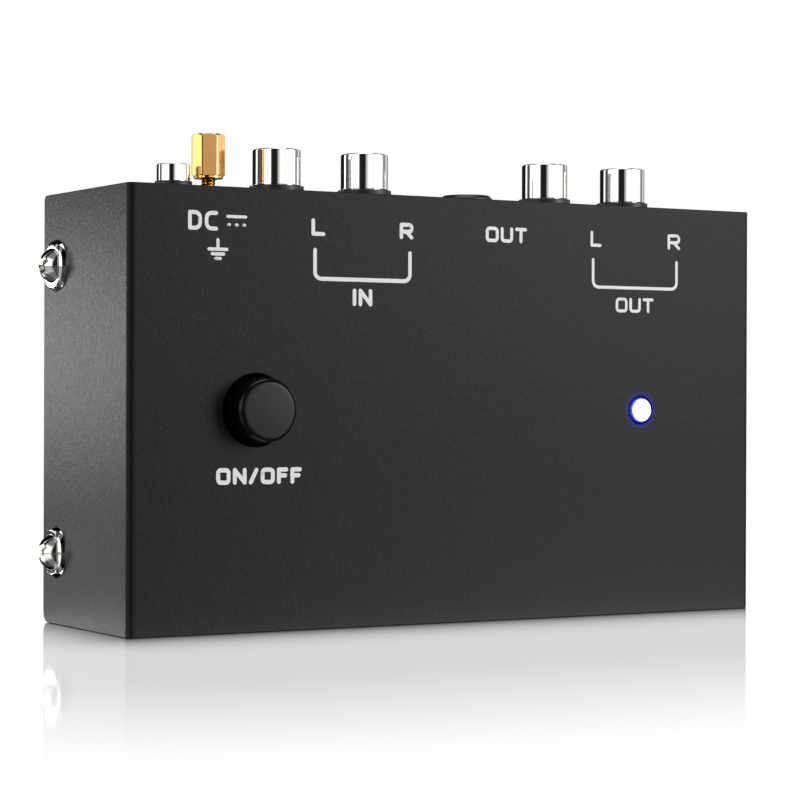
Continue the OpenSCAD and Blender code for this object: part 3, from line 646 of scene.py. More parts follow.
@dataclass(frozen=True)
class PowderCoatWithPaintedGlow(PowderCoat):
    """The same coat with a painted blue glow round the light: the coat itself emits it, in place of the
    lens's spill.
    """

    axis: tuple[float, float] = (0.0, 0.0)
    # The painted glow: where it starts and ends off the light's axis, how strong it is and how fast it
    # falls.
    start: float = 2.5
    reach: float = 4.0
    glow: float = 0.4
    fall: float = 2.0

    def paint(self, tree: Tree, shader: Node, place: Socket) -> None:
        """Adds the painted glow, which falls off with the distance from the light's axis.

        Args:
            tree, shader, place: As for Finish.paint.
        """
        super().paint(tree, shader, place)
        close = add_node(tree, "MapRange", {"Value": off_axis(tree, place, *self.axis),
                                            "From Min": self.start * MM, "From Max": self.reach * MM,
                                            "To Min": 1.0, "To Max": 0.0})
        power = chain(tree, "Math", close.outputs[0], ("POWER", self.fall), ("MULTIPLY", self.glow))
        # The painted glow's blue, given off by the coat itself.
        fill(tree, shader, {"Emission Color": linear("#2a22c0"), "Emission Strength": power})


@dataclass(frozen=True)
class Metal(Grained):
    """Turned or rolled metal: its own colour in the reflection, with faint tool marks round it.

    Real tool marks are a few hundredths of a millimetre apart and are drawn coarser, so that they show.
    """

    darker: float = 0.93
    swing: float = 0.3
    haze: float = 1.3
    drawn: float = 0.05

    def paint(self, tree: Tree, shader: Node, place: Socket) -> None:
        """Adds marks that are drawn out along X and Y, and a broad haze as gloss and tone.

        Args:
            tree, shader, place: As for Finish.paint.
        """
        drawn = add_node(tree, "Mapping", {"Vector": place, "Scale": (self.drawn, self.drawn, 1.0)})
        marks = add_node(tree, "TexNoise", {"Vector": drawn.outputs[0], "Scale": per_metre(self.grain),
                                            "Detail": 2.0})
        haze = add_node(tree, "TexNoise", {"Vector": place, "Scale": per_metre(self.haze)}).outputs[0]
        self.lay(tree, shader, marks.outputs[0], haze, haze, self.swing * self.roughness)
        shader.inputs["Metallic"].default_value = 1.0


@dataclass(frozen=True)
class Moulded(Grained):
    """Moulded plastic or rubber: an even colour with the mould's fine spark-eroded skin.

    The real skin is finer than a tenth of a millimetre and is drawn coarser, so that it shows.
    """

    swing: float = 0.04
    ior: float = 1.5

    def paint(self, tree: Tree, shader: Node, place: Socket) -> None:
        """Adds the skin as relief, and as a slight change of gloss and tone.

        Args:
            tree, shader, place: As for Finish.paint.
        """
        skin = add_node(tree, "TexNoise", {"Vector": place, "Scale": per_metre(self.grain),
                                           "Detail": 2.0}).outputs[0]
        self.lay(tree, shader, skin, skin, skin, self.swing)
        shader.inputs["IOR"].default_value = self.ior


@dataclass(frozen=True)
class Striped(Finish):
    """Enamel or sleeve with stripes across one axis, as on resistors and capacitors."""

    colour: str
    stripe: str
    axis: str
    pitch: float
    share: float
    roughness: float = 0.3
    swing: float = 0.05
    grain: float = 0.4

    def paint(self, tree: Tree, shader: Node, place: Socket) -> None:
        """Draws the stripes, and lets the gloss vary a little.

        Args:
            tree, shader, place: As for Finish.paint.
        """
        cut = stripes(tree, place, self.axis, self.pitch, self.share)
        tone = add_node(tree, "Mix", {0: cut, 6: linear(self.colour), 7: linear(self.stripe)},
                        data_type="RGBA")
        grain = add_node(tree, "TexNoise", {"Vector": place, "Scale": per_metre(self.grain)})
        gloss = add_node(tree, "MapRange", {"Value": grain.outputs[0], "To Min": self.roughness - self.swing,
                                            "To Max": self.roughness + self.swing})
        fill(tree, shader, {"Base Color": tone.outputs[2], "Roughness": gloss.outputs[0]})


@dataclass(frozen=True)
class SolderMask(Finish):
    """Green solder mask over copper tracks on glass laminate: glossy, paler where copper lies under it."""

    colour: str = "#0c4a22"
    track: str = "#1a7038"
    pitch: float = 1.27
    share: float = 0.42
    patch: float = 9.0
    bare: float = 0.25
    depth: float = 0.03
    relief: float = 0.3
    roughness: float = 0.22

    def paint(self, tree: Tree, shader: Node, place: Socket) -> None:
        """Draws tracks in square patches, across X in some, across Z in others and none in the rest.

        Args:
            tree, shader, place: As for Finish.paint.
        """
        patches = add_node(tree, "TexVoronoi", {"Vector": place, "Scale": per_metre(self.patch)},
                           distance="CHEBYCHEV", feature="F1")
        chance = add_node(tree, "SeparateColor", {0: patches.outputs["Color"]}).outputs
        across_x, across_z = (stripes(tree, place, axis, self.pitch, self.share) for axis in "XZ")
        way = chain(tree, "Math", chance["Red"], ("GREATER_THAN", 0.5))
        either = add_node(tree, "Mix", {0: way, 2: across_x, 3: across_z}, data_type="FLOAT")
        busy = chain(tree, "Math", chance["Green"], ("GREATER_THAN", self.bare))
        copper = chain(tree, "Math", either.outputs[0], ("MULTIPLY", busy))
        tone = add_node(tree, "Mix", {0: copper, 6: linear(self.colour), 7: linear(self.track)},
                        data_type="RGBA")
        bump = add_node(tree, "Bump", {"Strength": self.relief, "Distance": self.depth * MM,
                                       "Height": copper})
        fill(tree, shader, {"Roughness": self.roughness, "Base Color": tone.outputs[2],
                            "Normal": bump.outputs[0]})


@dataclass(frozen=True)
class LitLens(Finish):
    """Clear blue epoxy, lit from inside: white where the chip shines out, deep blue towards its rim."""

    axis: tuple[float, float] = (0.0, 0.0)
    core: float = 1.8
    rim: float = 2.32
    glow: float = 5.0
    rim_glow: float = 0.12
    colour: str = "#3a4cc0"
    roughness: float = 0.08
    hues: tuple[tuple[float, str], ...] = ((0.0, "#ffffff"), (0.35, "#8f96ff"), (0.55, "#2a22c0"),
                                           (0.8, "#120a70"), (1.0, "#0a0540"))

    def paint(self, tree: Tree, shader: Node, place: Socket) -> None:
        """Gives light off by the distance from the lens's own axis.

        Args:
            tree, shader, place: As for Finish.paint.
        """
        out = add_node(tree, "MapRange", {"Value": off_axis(tree, place, *self.axis),
                                          "From Min": self.core * MM, "From Max": self.rim * MM}).outputs[0]
        hue = add_node(tree, "ValToRGB", {"Fac": out})
        set_stops(hue, [(at, linear(code)) for at, code in self.hues])
        power = add_node(tree, "MapRange", {"Value": out, "To Min": self.glow, "To Max": self.rim_glow})
        fill(tree, shader, {"Base Color": linear(self.colour), "Roughness": self.roughness,
                            "Emission Color": hue.outputs[0], "Emission Strength": power.outputs[0]})


# Baked powder has a satin grain that blurs what it mirrors.
POWDER_COAT = PowderCoat("black_fine_texture_powder_coat", "powder_coated_steel")
# Bright nickel mirrors the room almost sharply, and zinc does so more softly and a little bluer.
NICKEL = Metal("bright_nickel_plate", "nickel_plate", "#ededea", 0.07, 0.12, 0.03)
ZINC = Metal("bright_zinc_plate", "zinc_plate", "#cfd3d8", 0.2, 0.2, 0.1)
# Lathe-turned brass is a warm yellow with fine rings, and gold flash is paler and smoother.
BRASS = Metal("turned_yellow_brass", "brass", "#f1b96e", 0.14, 0.15, 0.06)
GOLD_FLASH = Metal("gold_flash_over_nickel", "gold_flash", "#f3cf7a", 0.15, 0.2, 0.05)
# Dipped tin and drawn steel wire are grey metals with a blurred shine.
TIN = Metal("tinned_phosphor_bronze", "tinned_contact", "#d6d8da", 0.25, 0.2, 0.08)
SPRING_STEEL = Metal("drawn_spring_steel", "spring_steel", "#b4b6ba", 0.25, 0.3, 0.1)
# Moulded nylon has a satin skin, in black for the blocks and in white and red for the channels.
BLACK_NYLON = Moulded("moulded_black_nylon", "black_nylon", "#161617", 0.42, 0.2, 0.12)
WHITE_NYLON = Moulded("moulded_white_nylon", "white_nylon", "#eeede6", 0.35, 0.2, 0.06)
RED_NYLON = Moulded("moulded_red_nylon", "red_nylon", "#b3131b", 0.35, 0.2, 0.06)
# Satin ABS is the deepest black here, with a soft highlight along its eased edge.
BUTTON_ABS = Moulded("satin_black_abs", "button_abs", "#070708", 0.24, 0.18, 0.05, ior=1.28)
# Silicone rubber is matt and shows no highlight, and PVC sleeving shines softly.
RUBBER = Moulded("matt_black_silicone_rubber", "feet_rubber", "#19191a", 0.75, 0.3, 0.3, ior=1.42)
WIRE = Moulded("green_pvc_insulation", "wire_jacket", "#1f7a35", 0.4, 0.3, 0.08)
# Screen printing ink is an even, flat white.
INK = Moulded("white_screen_printing_ink", "white_nylon", "#fdfdfc", 0.5, 0.3, 0.05)
# Solder mask is a clear, glossy green.
MASK = SolderMask("green_solder_mask", "board_laminate")
# A shrunk sleeve has one pale stripe down each can, and resistors have brown bands on beige enamel.
SLEEVE = Striped("shrunk_pvc_capacitor_sleeve", "capacitor_sleeve", "#1d2c60", "#c4cad6", "X", 9.0, 0.22)
ENAMEL = Striped("banded_beige_resistor_enamel", "resistor_enamel", "#cbb487", "#7a3a1c", "Z", 1.25, 0.32)
# Cast resin is a glossy red brown, dipped ceramic a duller ochre, and chip epoxy a matt dark grey.
FILM_RESIN = Moulded("cast_red_polyester_resin", "film_epoxy", "#a8371f", 0.25, 0.4, 0.05)
CERAMIC = Moulded("dipped_ochre_ceramic", "ceramic_dip", "#c58a35", 0.45, 0.35, 0.2)
CHIP_EPOXY = Moulded("moulded_black_chip_epoxy", "chip_epoxy", "#1b1b1c", 0.55, 0.15, 0.2)


# ---------- pieces ----------


def add_piece(name: str, shape: Shape, finish: Finish, body: Body, stands_for: Sequence[str] = (), *,
              closed: bool = True, wall: float = 0.0, ease: float = 0.0, sharp: float = 32.0,
              flatten: bool = False) -> bpy.types.Object:
    """Makes a piece of the object from a shape, finishes it and hangs it on its body.

    Args:
        name: The piece's name.
        shape: Its surface, in millimetres.
        finish: Its finish.
        body: The body that it rides on.
        stands_for: The CAD nodes that it replaces.
        closed: Whether the surface is closed, so that its faces can be turned outwards.
        wall: Thickness that a skin gets inwards.
        ease: Width of the bevel along its sharp edges.
        sharp: Angle in degrees past which an edge stays sharp.
        flatten: Whether faces in one plane are joined first.

    Returns:
        The object.
    """
    mesh = bpy.data.meshes.new(name)
    mesh.from_pydata((shape.points * MM).tolist(), [], [list(map(int, face)) for face in shape.faces])
    tidy = bmesh.new()
    tidy.from_mesh(mesh)
    bmesh.ops.remove_doubles(tidy, verts=tidy.verts, dist=MERGE * MM)
    bmesh.ops.dissolve_degenerate(tidy, dist=MERGE * MM, edges=tidy.edges)
    if flatten:
        bmesh.ops.dissolve_limit(tidy, angle_limit=math.radians(FLAT), verts=tidy.verts, edges=tidy.edges)
    if closed:
        bmesh.ops.recalc_face_normals(tidy, faces=tidy.faces)
    tidy.to_mesh(mesh)
    tidy.free()
    mesh.shade_smooth()
    mesh.materials.append(finish.material())
    piece = bpy.data.objects.new(name, mesh)
    bpy.context.scene.collection.objects.link(piece)
    if wall:
        skin = piece.modifiers.new("sheet", "SOLIDIFY")
        skin.thickness = wall * MM
        skin.offset = -1.0
        skin.use_even_offset = True
    if ease:
        edge = piece.modifiers.new("eased_edges", "BEVEL")
        edge.width = ease * MM
        edge.segments = 3
        edge.limit_method = "ANGLE"
        edge.angle_limit = math.radians(sharp)
        edge.harden_normals = True
    else:
        mesh.set_sharp_from_angle(angle=math.radians(sharp))
        piece.modifiers.new("even_normals", "WEIGHTED_NORMAL").keep_sharp = True
    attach(piece, body.value)
    if stands_for:
        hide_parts(*stands_for)
    LOG.info("%s: %d faces, rides on %s", name, len(mesh.polygons), body.value)
    return piece


def dress(finish: Finish, *nodes: str) -> None:
    """Gives CAD nodes that stay as they are a finish.

    Args:
        finish: The finish.
        nodes: The nodes' names.
    """
    for name in nodes:
        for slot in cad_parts[name].material_slots:
            slot.material = finish.material()
        LOG.info("%s: CAD node in %s", name, finish.name)


def node_shape(name: str) -> Shape:
    """A CAD node's own surface.

    Args:
        name: The node's name.

    Returns:
        Its points in millimetres, and its triangles.
    """
    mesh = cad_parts[name].data
    points = np.empty(len(mesh.vertices) * 3)
    mesh.vertices.foreach_get("co", points)
    mesh.calc_loop_triangles()
    faces = np.empty(len(mesh.loop_triangles) * 3, np.int32)
    mesh.loop_triangles.foreach_get("vertices", faces)
    return Shape(points.reshape(-1, 3) / MM, faces.reshape(-1, 3).tolist())


def soften(name: str, finish: Finish, ease: float) -> None:
    """Stands a copy of one of the case's CAD nodes, with a bevel along its sharp edges, in its place."""
    add_piece(name + "_eased", node_shape(name), finish, Body.CASE, [name], ease=ease, flatten=True)


def node_box(name: str) -> tuple[np.ndarray, np.ndarray]:
    """Lowest and highest corner of a CAD node, in millimetres."""
    low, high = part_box(name)
    return np.array(low) / MM, np.array(high) / MM


def node_middle(name: str) -> np.ndarray:
    """Middle of a CAD node's box, in millimetres."""
    low, high = node_box(name)
    return (low + high) / 2


# ---------- lettering ----------

# A glyph is its width as a share of its height, and its strokes: corners (x, y, easing), x and y
# from 0 to 1 across the glyph's cell, the easing as a share of the height.
ROUND = 0.24
GLYPHS: dict[str, tuple[float, list]] = {
    "L": (0.62, [[(0, 1, 0), (0, 0, 0), (1, 0, 0)]]),
    "R": (0.72, [[(0, 0, 0), (0, 1, 0), (1, 1, ROUND), (1, 0.45, ROUND), (0, 0.45, 0)],
                 [(0.5, 0.45, 0), (1, 0, 0)]]),
    "I": (0.0, [[(0, 0, 0), (0, 1, 0)]]),
    "N": (0.78, [[(0, 0, 0), (0, 1, 0), (1, 0, 0), (1, 1, 0)]]),
    "O": (0.82, [[(0.5, 0, 0), (1, 0, ROUND), (1, 1, ROUND), (0, 1, ROUND), (0, 0, ROUND), (0.5, 0, 0)]]),
    "U": (0.78, [[(0, 1, 0), (0, 0, ROUND), (1, 0, ROUND), (1, 1, 0)]]),
    "T": (0.74, [[(0, 1, 0), (1, 1, 0)], [(0.5, 1, 0), (0.5, 0, 0)]]),
    "D": (0.78, [[(0.3, 0, 0), (0, 0, 0), (0, 1, 0), (1, 1, 0.35), (1, 0, 0.35), (0.3, 0, 0)]]),
    "C": (0.74, [[(1, 1, 0), (0, 1, 0.35), (0, 0, 0.35), (1, 0, 0)]]),
    "F": (0.6, [[(0, 0, 0), (0, 1, 0), (1, 1, 0)], [(0, 0.52, 0), (0.85, 0.52, 0)]]),
    "/": (0.45, [[(0, 0, 0), (1, 1, 0)]]),
    "direct": (1.0, [[(0, 0.8, 0), (1, 0.8, 0)], [(0.05, 0.3, 0), (0.11, 0.3, 0)],
                     [(0.47, 0.3, 0), (0.53, 0.3, 0)], [(0.89, 0.3, 0), (0.95, 0.3, 0)]]),
    "earth": (1.0, [[(0.5, 1, 0), (0.5, 0.5, 0)], [(0, 0.5, 0), (1, 0.5, 0)],
                    [(0.18, 0.25, 0), (0.82, 0.25, 0)], [(0.36, 0, 0), (0.64, 0, 0)]]),
}


@dataclass
class Mark:
    """A printed mark: its glyphs, and the box that its ink fills, from the face's middle and floor."""

    glyphs: Sequence[str]
    left: float
    right: float
    low: float
    high: float
    stroke: float = 0.66
    gap: float = 0.2

    def lines(self) -> list[np.ndarray]:
        """The centre lines of its strokes: glyph widths are shared out so that the row fills the box.

        Returns:
            Each line's points, one row each.
        """
        half = self.stroke / 2
        height = self.high - self.low - self.stroke
        step = self.gap * height + self.stroke
        widths = np.array([GLYPHS[g][0] for g in self.glyphs])
        if widths.sum():
            widths *= (self.right - self.left - self.stroke - step * (len(widths) - 1)) / widths.sum()
        lines = []
        x = self.left + half
        for glyph, width in zip(self.glyphs, widths):
            for stroke in GLYPHS[glyph][1]:
                corners = [(x + cx * width, self.low + half + cy * height, ease * height)
                           for cx, cy, ease in stroke]
                lines.append(eased(corners, steps=5))
            x += width + step
        return lines


@dataclass
class Bracket:
    """A printed line under a pair of jacks, turned up at both ends."""

    left: float
    right: float
    low: float
    high: float
    stroke: float = 0.6
    corner: float = 1.15

    def lines(self) -> list[np.ndarray]:
        """Its one centre line, down, across and up again.

        Returns:
            The line's points, one row each, in a list of one.
        """
        half = self.stroke / 2
        left, right, low, high = self.left + half, self.right - half, self.low + half, self.high - half
        return [eased([(left, high, 0), (left, low, self.corner), (right, low, self.corner),
                       (right, high, 0)], steps=8)]


def inked(marks: Iterable[Mark | Bracket], round_end: int = 7) -> Shape:
    """All printed strokes as one flat net.

    Each straight piece of a centre line becomes a capsule, a rectangle with round ends. A
    constrained Delaunay net of all the capsules keeps the triangles that lie in any of them.

    Args:
        marks: The marks, each with a stroke width and centre lines.
        round_end: Points along a capsule's end.

    Returns:
        The ink in the plane z = 0, facing +Z.
    """
    places, faces = [], []
    turn = np.linspace(-math.pi / 2, math.pi / 2, round_end)
    for mark in marks:
        for line in mark.lines():
            for start, end in zip(line[:-1], line[1:]):
                heading = math.atan2(end[1] - start[1], end[0] - start[0])
                ring = [np.stack([np.cos(heading + a + turn), np.sin(heading + a + turn)], axis=-1)
                        * mark.stroke / 2 + middle for a, middle in ((0.0, end), (math.pi, start))]
                faces.append(list(range(len(places), len(places) + 2 * len(turn))))
                places.extend(np.vstack(ring).tolist())
    net = delaunay_2d_cdt([Vector(p) for p in places], [], faces, NET_WHOLE, INK_CLOSE)
    kept = [face for face, source in zip(net[2], net[5]) if source]
    return Shape(np.array([(v.x, v.y, 0.0) for v in net[0]]), kept)


# ---------- sub-assemblies ----------

JACKS = ("input_left", "input_right", "output_left", "output_right")


@dataclass
class Case:
    """The folded cover and chassis, their screws and washers, the feet and the printing."""

    # Sheet thickness, outer radii of the folds and of the blank's corners, and the eased edge.
    sheet: float = 1.0
    cover_fold: float = 1.05
    chassis_fold: float = 1.3
    low_corner: float = 1.8
    top_corner: float = 1.0
    edge: float = 0.14
    # Radii of the chassis's holes, and half a standoff over its flats.
    jack_hole: float = 4.85
    power_hole: float = 3.3
    ground_hole: float = 1.28
    standoff_hole: float = 2.13
    standoff_flat: float = 2.5
    # The tabs: how far they reach forward, half their height, their corners and their holes.
    tab_reach: float = 11.0
    tab_half: float = 7.0
    tab_corner: float = 1.0
    tab_hole: float = 1.53
    # The screws, with the turn of each recess, and the taper of their washers.
    screw_radius: float = 1.5
    screw_room: float = 0.2
    shank: float = 6.0
    twists: tuple[int, ...] = (12, 9, 4, 17)
    rim_drop: float = 0.2
    rim_run: float = 0.42
    top_run: float = 0.71
    # The feet, with the hollow's depth and the shares of the radius where it starts and ends.
    foot_radius: float = 4.0
    hollow: float = 0.25
    hollow_rim: float = 0.7
    hollow_floor: float = 0.6
    # The ink's thickness, and how far it sinks into the coat.
    ink: float = 0.03
    ink_sunk: float = 0.005

    def __post_init__(self) -> None:
        """Reads the case's outline, and its screws' and washers' places and sizes, from the frame."""
        self.low, self.high = node_box("cover")
        self.inner_low, self.inner_high = node_box("chassis")
        half_way = self.high[2] / 2
        washers = node_shape("cover_screw_washers").points
        rings = [washers[(washers[:, 0] < 0) & ((washers[:, 2] > half_way) == upper)]
                 for upper in (False, True)]
        self.screw_places = [(ring.min(axis=0) + ring.max(axis=0))[1:] / 2 for ring in rings]
        self.washer = np.ptp(rings[0], axis=0)
        heads = node_shape("cover_screws").points
        seat = self.low[0] - self.washer[0]
        self.head_height = seat - heads[:, 0].min()
        upper = heads[(heads[:, 0] < seat - NEAR) & (heads[:, 2] > half_way)]
        self.head_radius = float(np.ptp(upper[:, 2]) / 2)

    def rim_radius(self, axis: np.ndarray) -> float:
        """Radius of a round hole in the face, from its rim in the cover's own mesh.

        Args:
            axis: A point on the hole's axis.

        Returns:
            Distance from the axis to the nearest point of the face.
        """
        points = node_shape("cover").points
        face = points[points[:, 1] < self.low[1] + NEAR]
        return float(np.hypot(face[:, 0] - axis[0], face[:, 2] - axis[2]).min())

    def cover(self) -> None:
        """The labelled face and both flaps, folded from one blank with its holes."""
        width, depth, height = self.high - self.low
        fold = Fold(width, depth, height, self.cover_fold)
        end = fold.on_leg(1, depth)
        outline = eased([(-end, 0, self.low_corner), (end, 0, self.low_corner),
                         (end, height, self.top_corner), (-end, height, self.top_corner)],
                        closed=True, steps=8)
        button, light = node_middle("power_button"), node_middle("led_lens")
        holes = [(axis[0], axis[2], self.rim_radius(axis)) for axis in (button, light)]
        holes += [(fold.on_leg(side, y - self.low[1]), z, self.screw_radius + self.screw_room)
                  for y, z in self.screw_places for side in (-1, 1)]
        blank = cut_sheet(outline, holes, fold.lines())
        along, back, up = fold.folded(blank.points)
        # Round the light the coat carries a painted blue glow, an emission of its own.
        coat = PowderCoatWithPaintedGlow("black_powder_coat_with_painted_glow", POWDER_COAT.slot,
                             axis=(float(light[0]), float(light[2])))
        add_piece("cover_sheet", Shape(np.column_stack([along, self.low[1] + back, up]), blank.faces), coat,
                  Body.CASE, ["cover"], closed=False, wall=self.sheet, ease=self.edge)

    def chassis(self) -> None:
        """The standing face, back plate and connector panel, with the tabs that take the screws."""
        low, high = self.inner_low, self.inner_high
        fold = Fold(high[2] - low[2], high[1] - low[1], high[0] - low[0], self.chassis_fold)
        end, middle, half_way = fold.on_leg(1, fold.leg), fold.span / 2, (low[2] + high[2]) / 2
        outline = np.array([(-end, 0), (end, 0), (end, fold.span), (-end, fold.span)], float)
        row = fold.on_leg(1, high[1] - node_middle("input_left_insulator")[1])
        bores = {jack + "_insulator": self.jack_hole for jack in JACKS}
        bores |= {"stereo_jack_body": self.jack_hole, "power_jack_barrel": self.power_hole,
                  "ground_nut": self.ground_hole}
        holes = [(row, node_middle(node)[0] + middle, radius) for node, radius in bores.items()]
        holes += [(z - half_way, x + middle, self.standoff_hole) for x, z in self.standoff_places()]
        blank = cut_sheet(outline, holes, fold.lines())
        along, back, across = fold.folded(blank.points)
        points = np.column_stack([across - middle, high[1] - back, half_way + along])
        tabs = [self.tab(side, y, z) for side in (-1, 1) for y, z in self.screw_places]
        add_piece("chassis_sheet", joined([Shape(points, blank.faces)] + tabs), POWDER_COAT, Body.CASE,
                  ["chassis"], closed=False, wall=self.sheet, ease=self.edge)

    def standoff_places(self) -> list[tuple[float, float]]:
        """Places of the four standoffs, from the corners of their common box.

        Returns:
            Each standoff's (x, z).
        """
        low, high = node_box("board_standoffs")
        half_corner = self.standoff_flat / math.cos(math.pi / 6)
        return [(x, z) for x in (low[0] + half_corner, high[0] - half_corner)
                for z in (low[2] + self.standoff_flat, high[2] - self.standoff_flat)]

    def tab(self, side: int, y: float, z: float) -> Shape:
        """A tab of the chassis, flat behind the flap, with the screw's hole.

        Args:
            side: -1 for the left flap, 1 for the right one.
            y: Depth of the screw.
            z: Height of the screw.

        Returns:
            The tab's outer skin, facing its flap.
        """
        back, front = self.inner_high[1] - self.sheet, self.inner_high[1] - self.tab_reach
        outline = eased([(side * front, z - self.tab_half, self.tab_corner),
                         (side * back, z - self.tab_half, 0), (side * back, z + self.tab_half, 0),
                         (side * front, z + self.tab_half, self.tab_corner)][::side], closed=True)
        flat = cut_sheet(outline, [(side * y, z, self.tab_hole)], np.empty((0, 2)))
        u, v, _ = flat.points.T
        return Shape(np.column_stack([np.full(len(u), side * self.inner_high[0]), side * u, v]), flat.faces)

    def screws(self) -> None:
        """Four pan head screws with a cross recess, each on a washer with a tapered rim."""
        bore = self.screw_radius + self.screw_room
        thick, radius = self.washer[0], self.washer[2] / 2
        ring = turned_ring([(bore, 0, 0.05), (radius, 0, 0.03),
                            (radius - self.rim_run, thick - self.rim_drop, 0.04),
                            (radius - self.top_run, thick, 0.1), (bore, thick, 0.1)])
        head = PanHead(self.head_radius, self.head_height, self.screw_radius, self.shank)
        sides = ((Facing.LEFT, self.low[0]), (Facing.RIGHT, self.high[0]))
        spots = [(facing, x, y, z) for facing, x in sides for y, z in self.screw_places]
        heads = [head.shape(twist).placed(facing, (x + math.copysign(thick, x), y, z))
                 for twist, (facing, x, y, z) in zip(self.twists, spots)]
        rings = [ring.placed(facing, (x, y, z)) for facing, x, y, z in spots]
        add_piece("cover_screws_pan_head", joined(heads), NICKEL, Body.CASE, ["cover_screws"], sharp=40)
        add_piece("cover_screw_flat_washers", joined(rings), NICKEL, Body.CASE, ["cover_screw_washers"])

    def feet(self) -> None:
        """Four stick-on feet: discs with an eased edge and a shallow hollow."""
        low, high = node_box("rubber_feet")
        radius, height = self.foot_radius, high[1] - low[1]
        profile = eased([(0, 0, 0), (radius, 0, 0.1), (radius, height, 0.6),
                         (self.hollow_rim * radius, height, 0.2),
                         (self.hollow_floor * radius, height - self.hollow, 0.3),
                         (0, height - self.hollow, 0)])
        foot = turned(profile[:, 0], profile[:, 1], 64)
        feet = [foot.placed(Facing.BACK, (x, low[1], z)) for x in (low[0] + radius, high[0] - radius)
                for z in (low[2] + radius, high[2] - radius)]
        add_piece("stick_on_feet", joined(feet), RUBBER, Body.CASE, ["rubber_feet"])

    def printing(self) -> None:
        """White printing on the face: channel letters, brackets and plain words."""
        ink = inked([
            Mark("L", -29.4, -26.8, 65.5, 68.4, 0.68), Mark("R", -12.4, -9.7, 65.5, 68.3, 0.68),
            Bracket(-29.05, -10.0, 58.05, 63.5, 0.68), Mark("IN", -21.5, -17.7, 53.95, 56.9, 0.7),
            Mark("L", 26.9, 29.25, 65.5, 68.3, 0.56), Mark("R", 43.8, 46.6, 65.5, 68.3, 0.56),
            Bracket(27.2, 46.1, 58.1, 63.5, 0.55), Mark("OUT", 32.4, 40.7, 53.95, 56.6, 0.54),
            Mark("OUT", 4.9, 13.4, 65.6, 68.3, 0.6), Mark("DC", -52.1, -46.7, 65.7, 68.9),
            Mark(["direct"], -45.2, -41.4, 65.7, 68.9, 0.5), Mark(["earth"], -48.6, -44.8, 60.9, 64.5, 0.55),
            Mark("ON/OFF", -46.9, -31.1, 24.3, 27.05, 0.72)])
        x, z, _ = ink.points.T
        points = np.column_stack([x, np.full(len(x), self.low[1] - self.ink + self.ink_sunk), z])
        add_piece("face_printing", Shape(points, ink.faces), INK, Body.CASE, closed=False, wall=self.ink,
                  flatten=True)

    def build(self) -> None:
        """Makes all of the case."""
        self.cover()
        self.chassis()
        self.screws()
        self.feet()
        self.printing()


@dataclass
class PhonoJack:
    """A phono jack: a bright barrel in a black block, with an insulator and a centre contact."""

    name: str
    insulator: Finish
    rim: float = 0.3
    root_step: float = 0.2
    wall: float = 0.65
    neck: float = 0.1
    sides: int = 128
    tail_at: tuple[float, float] = (2.05, 2.9)
    tail_width: float = 1.0
    tail_thick: float = 0.6

    def barrel(self) -> None:
        """The turned barrel with its rolled rim, narrower in the body, and its solder tail."""
        x, y = node_middle(self.name + "_insulator")[:2]
        low, high = node_box(self.name + "_barrel")
        outer = (high - low)[0] / 2
        inner, root = outer - self.wall, outer - self.root_step
        step = node_box(self.name + "_body")[1][2] + self.neck
        ring = turned_ring([(inner, low[2], 0), (root, low[2], 0.1), (root, step, 0.02), (outer, step, 0.08),
                            (outer, high[2], self.rim), (inner, high[2], self.rim)], self.sides)
        left, front = x + self.tail_at[0], y + self.tail_at[1]
        tail = block((left, front, low[2]), (left + self.tail_width, high[1], low[2] + self.tail_thick))
        add_piece(self.name + "_turned_barrel", joined([ring.placed(Facing.UP, (x, y, 0)), tail]), NICKEL,
                  Body.CASE, [self.name + "_barrel"], sharp=40)

    def build(self) -> None:
        """Makes the jack's pieces."""
        self.barrel()
        soften(self.name + "_body", BLACK_NYLON, 0.18)
        soften(self.name + "_insulator", self.insulator, 0.1)
        dress(GOLD_FLASH, self.name + "_contact")


@dataclass
class StereoJack:
    """The 6.35 mm stereo jack: one moulded block with its nose, and three springs."""

    ease: float = 0.2

    def build(self) -> None:
        """Makes the jack's pieces."""
        soften("stereo_jack_body", BLACK_NYLON, self.ease)
        dress(TIN, "stereo_tip_spring", "stereo_ring_spring", "stereo_sleeve_spring")


@dataclass
class PowerSocket:
    """The small power socket: a bright barrel in a black block, with a tip spring."""

    rim: float = 0.25
    bore: float = 1.8
    step_room: float = 0.3
    sides: int = 128
    tail_half: float = 0.5
    tail_thick: float = 0.6

    def barrel(self) -> None:
        """The turned barrel, its bore wider below the collar's top, and its solder tail."""
        low, high = node_box("power_jack_barrel")
        x, y = (low + high)[0] / 2, node_middle("input_left_insulator")[1]
        radius, wide = (high - low)[0] / 2, self.bore + self.step_room
        collar = node_box("power_jack_body")[1][2]
        ring = turned_ring([(wide, low[2], 0), (radius, low[2], 0.1), (radius, high[2], self.rim),
                            (self.bore, high[2], self.rim), (self.bore, collar, 0), (wide, collar, 0)],
                           self.sides)
        tail = block((x - self.tail_half, y + radius - self.tail_half, low[2]),
                     (x + self.tail_half, high[1], low[2] + self.tail_thick))
        add_piece("power_jack_turned_barrel", joined([ring.placed(Facing.UP, (x, y, 0)), tail]), NICKEL,
                  Body.CASE, ["power_jack_barrel"], sharp=40)

    def build(self) -> None:
        """Makes the socket's pieces."""
        self.barrel()
        soften("power_jack_body", BLACK_NYLON, 0.15)
        dress(TIN, "power_tip_spring")


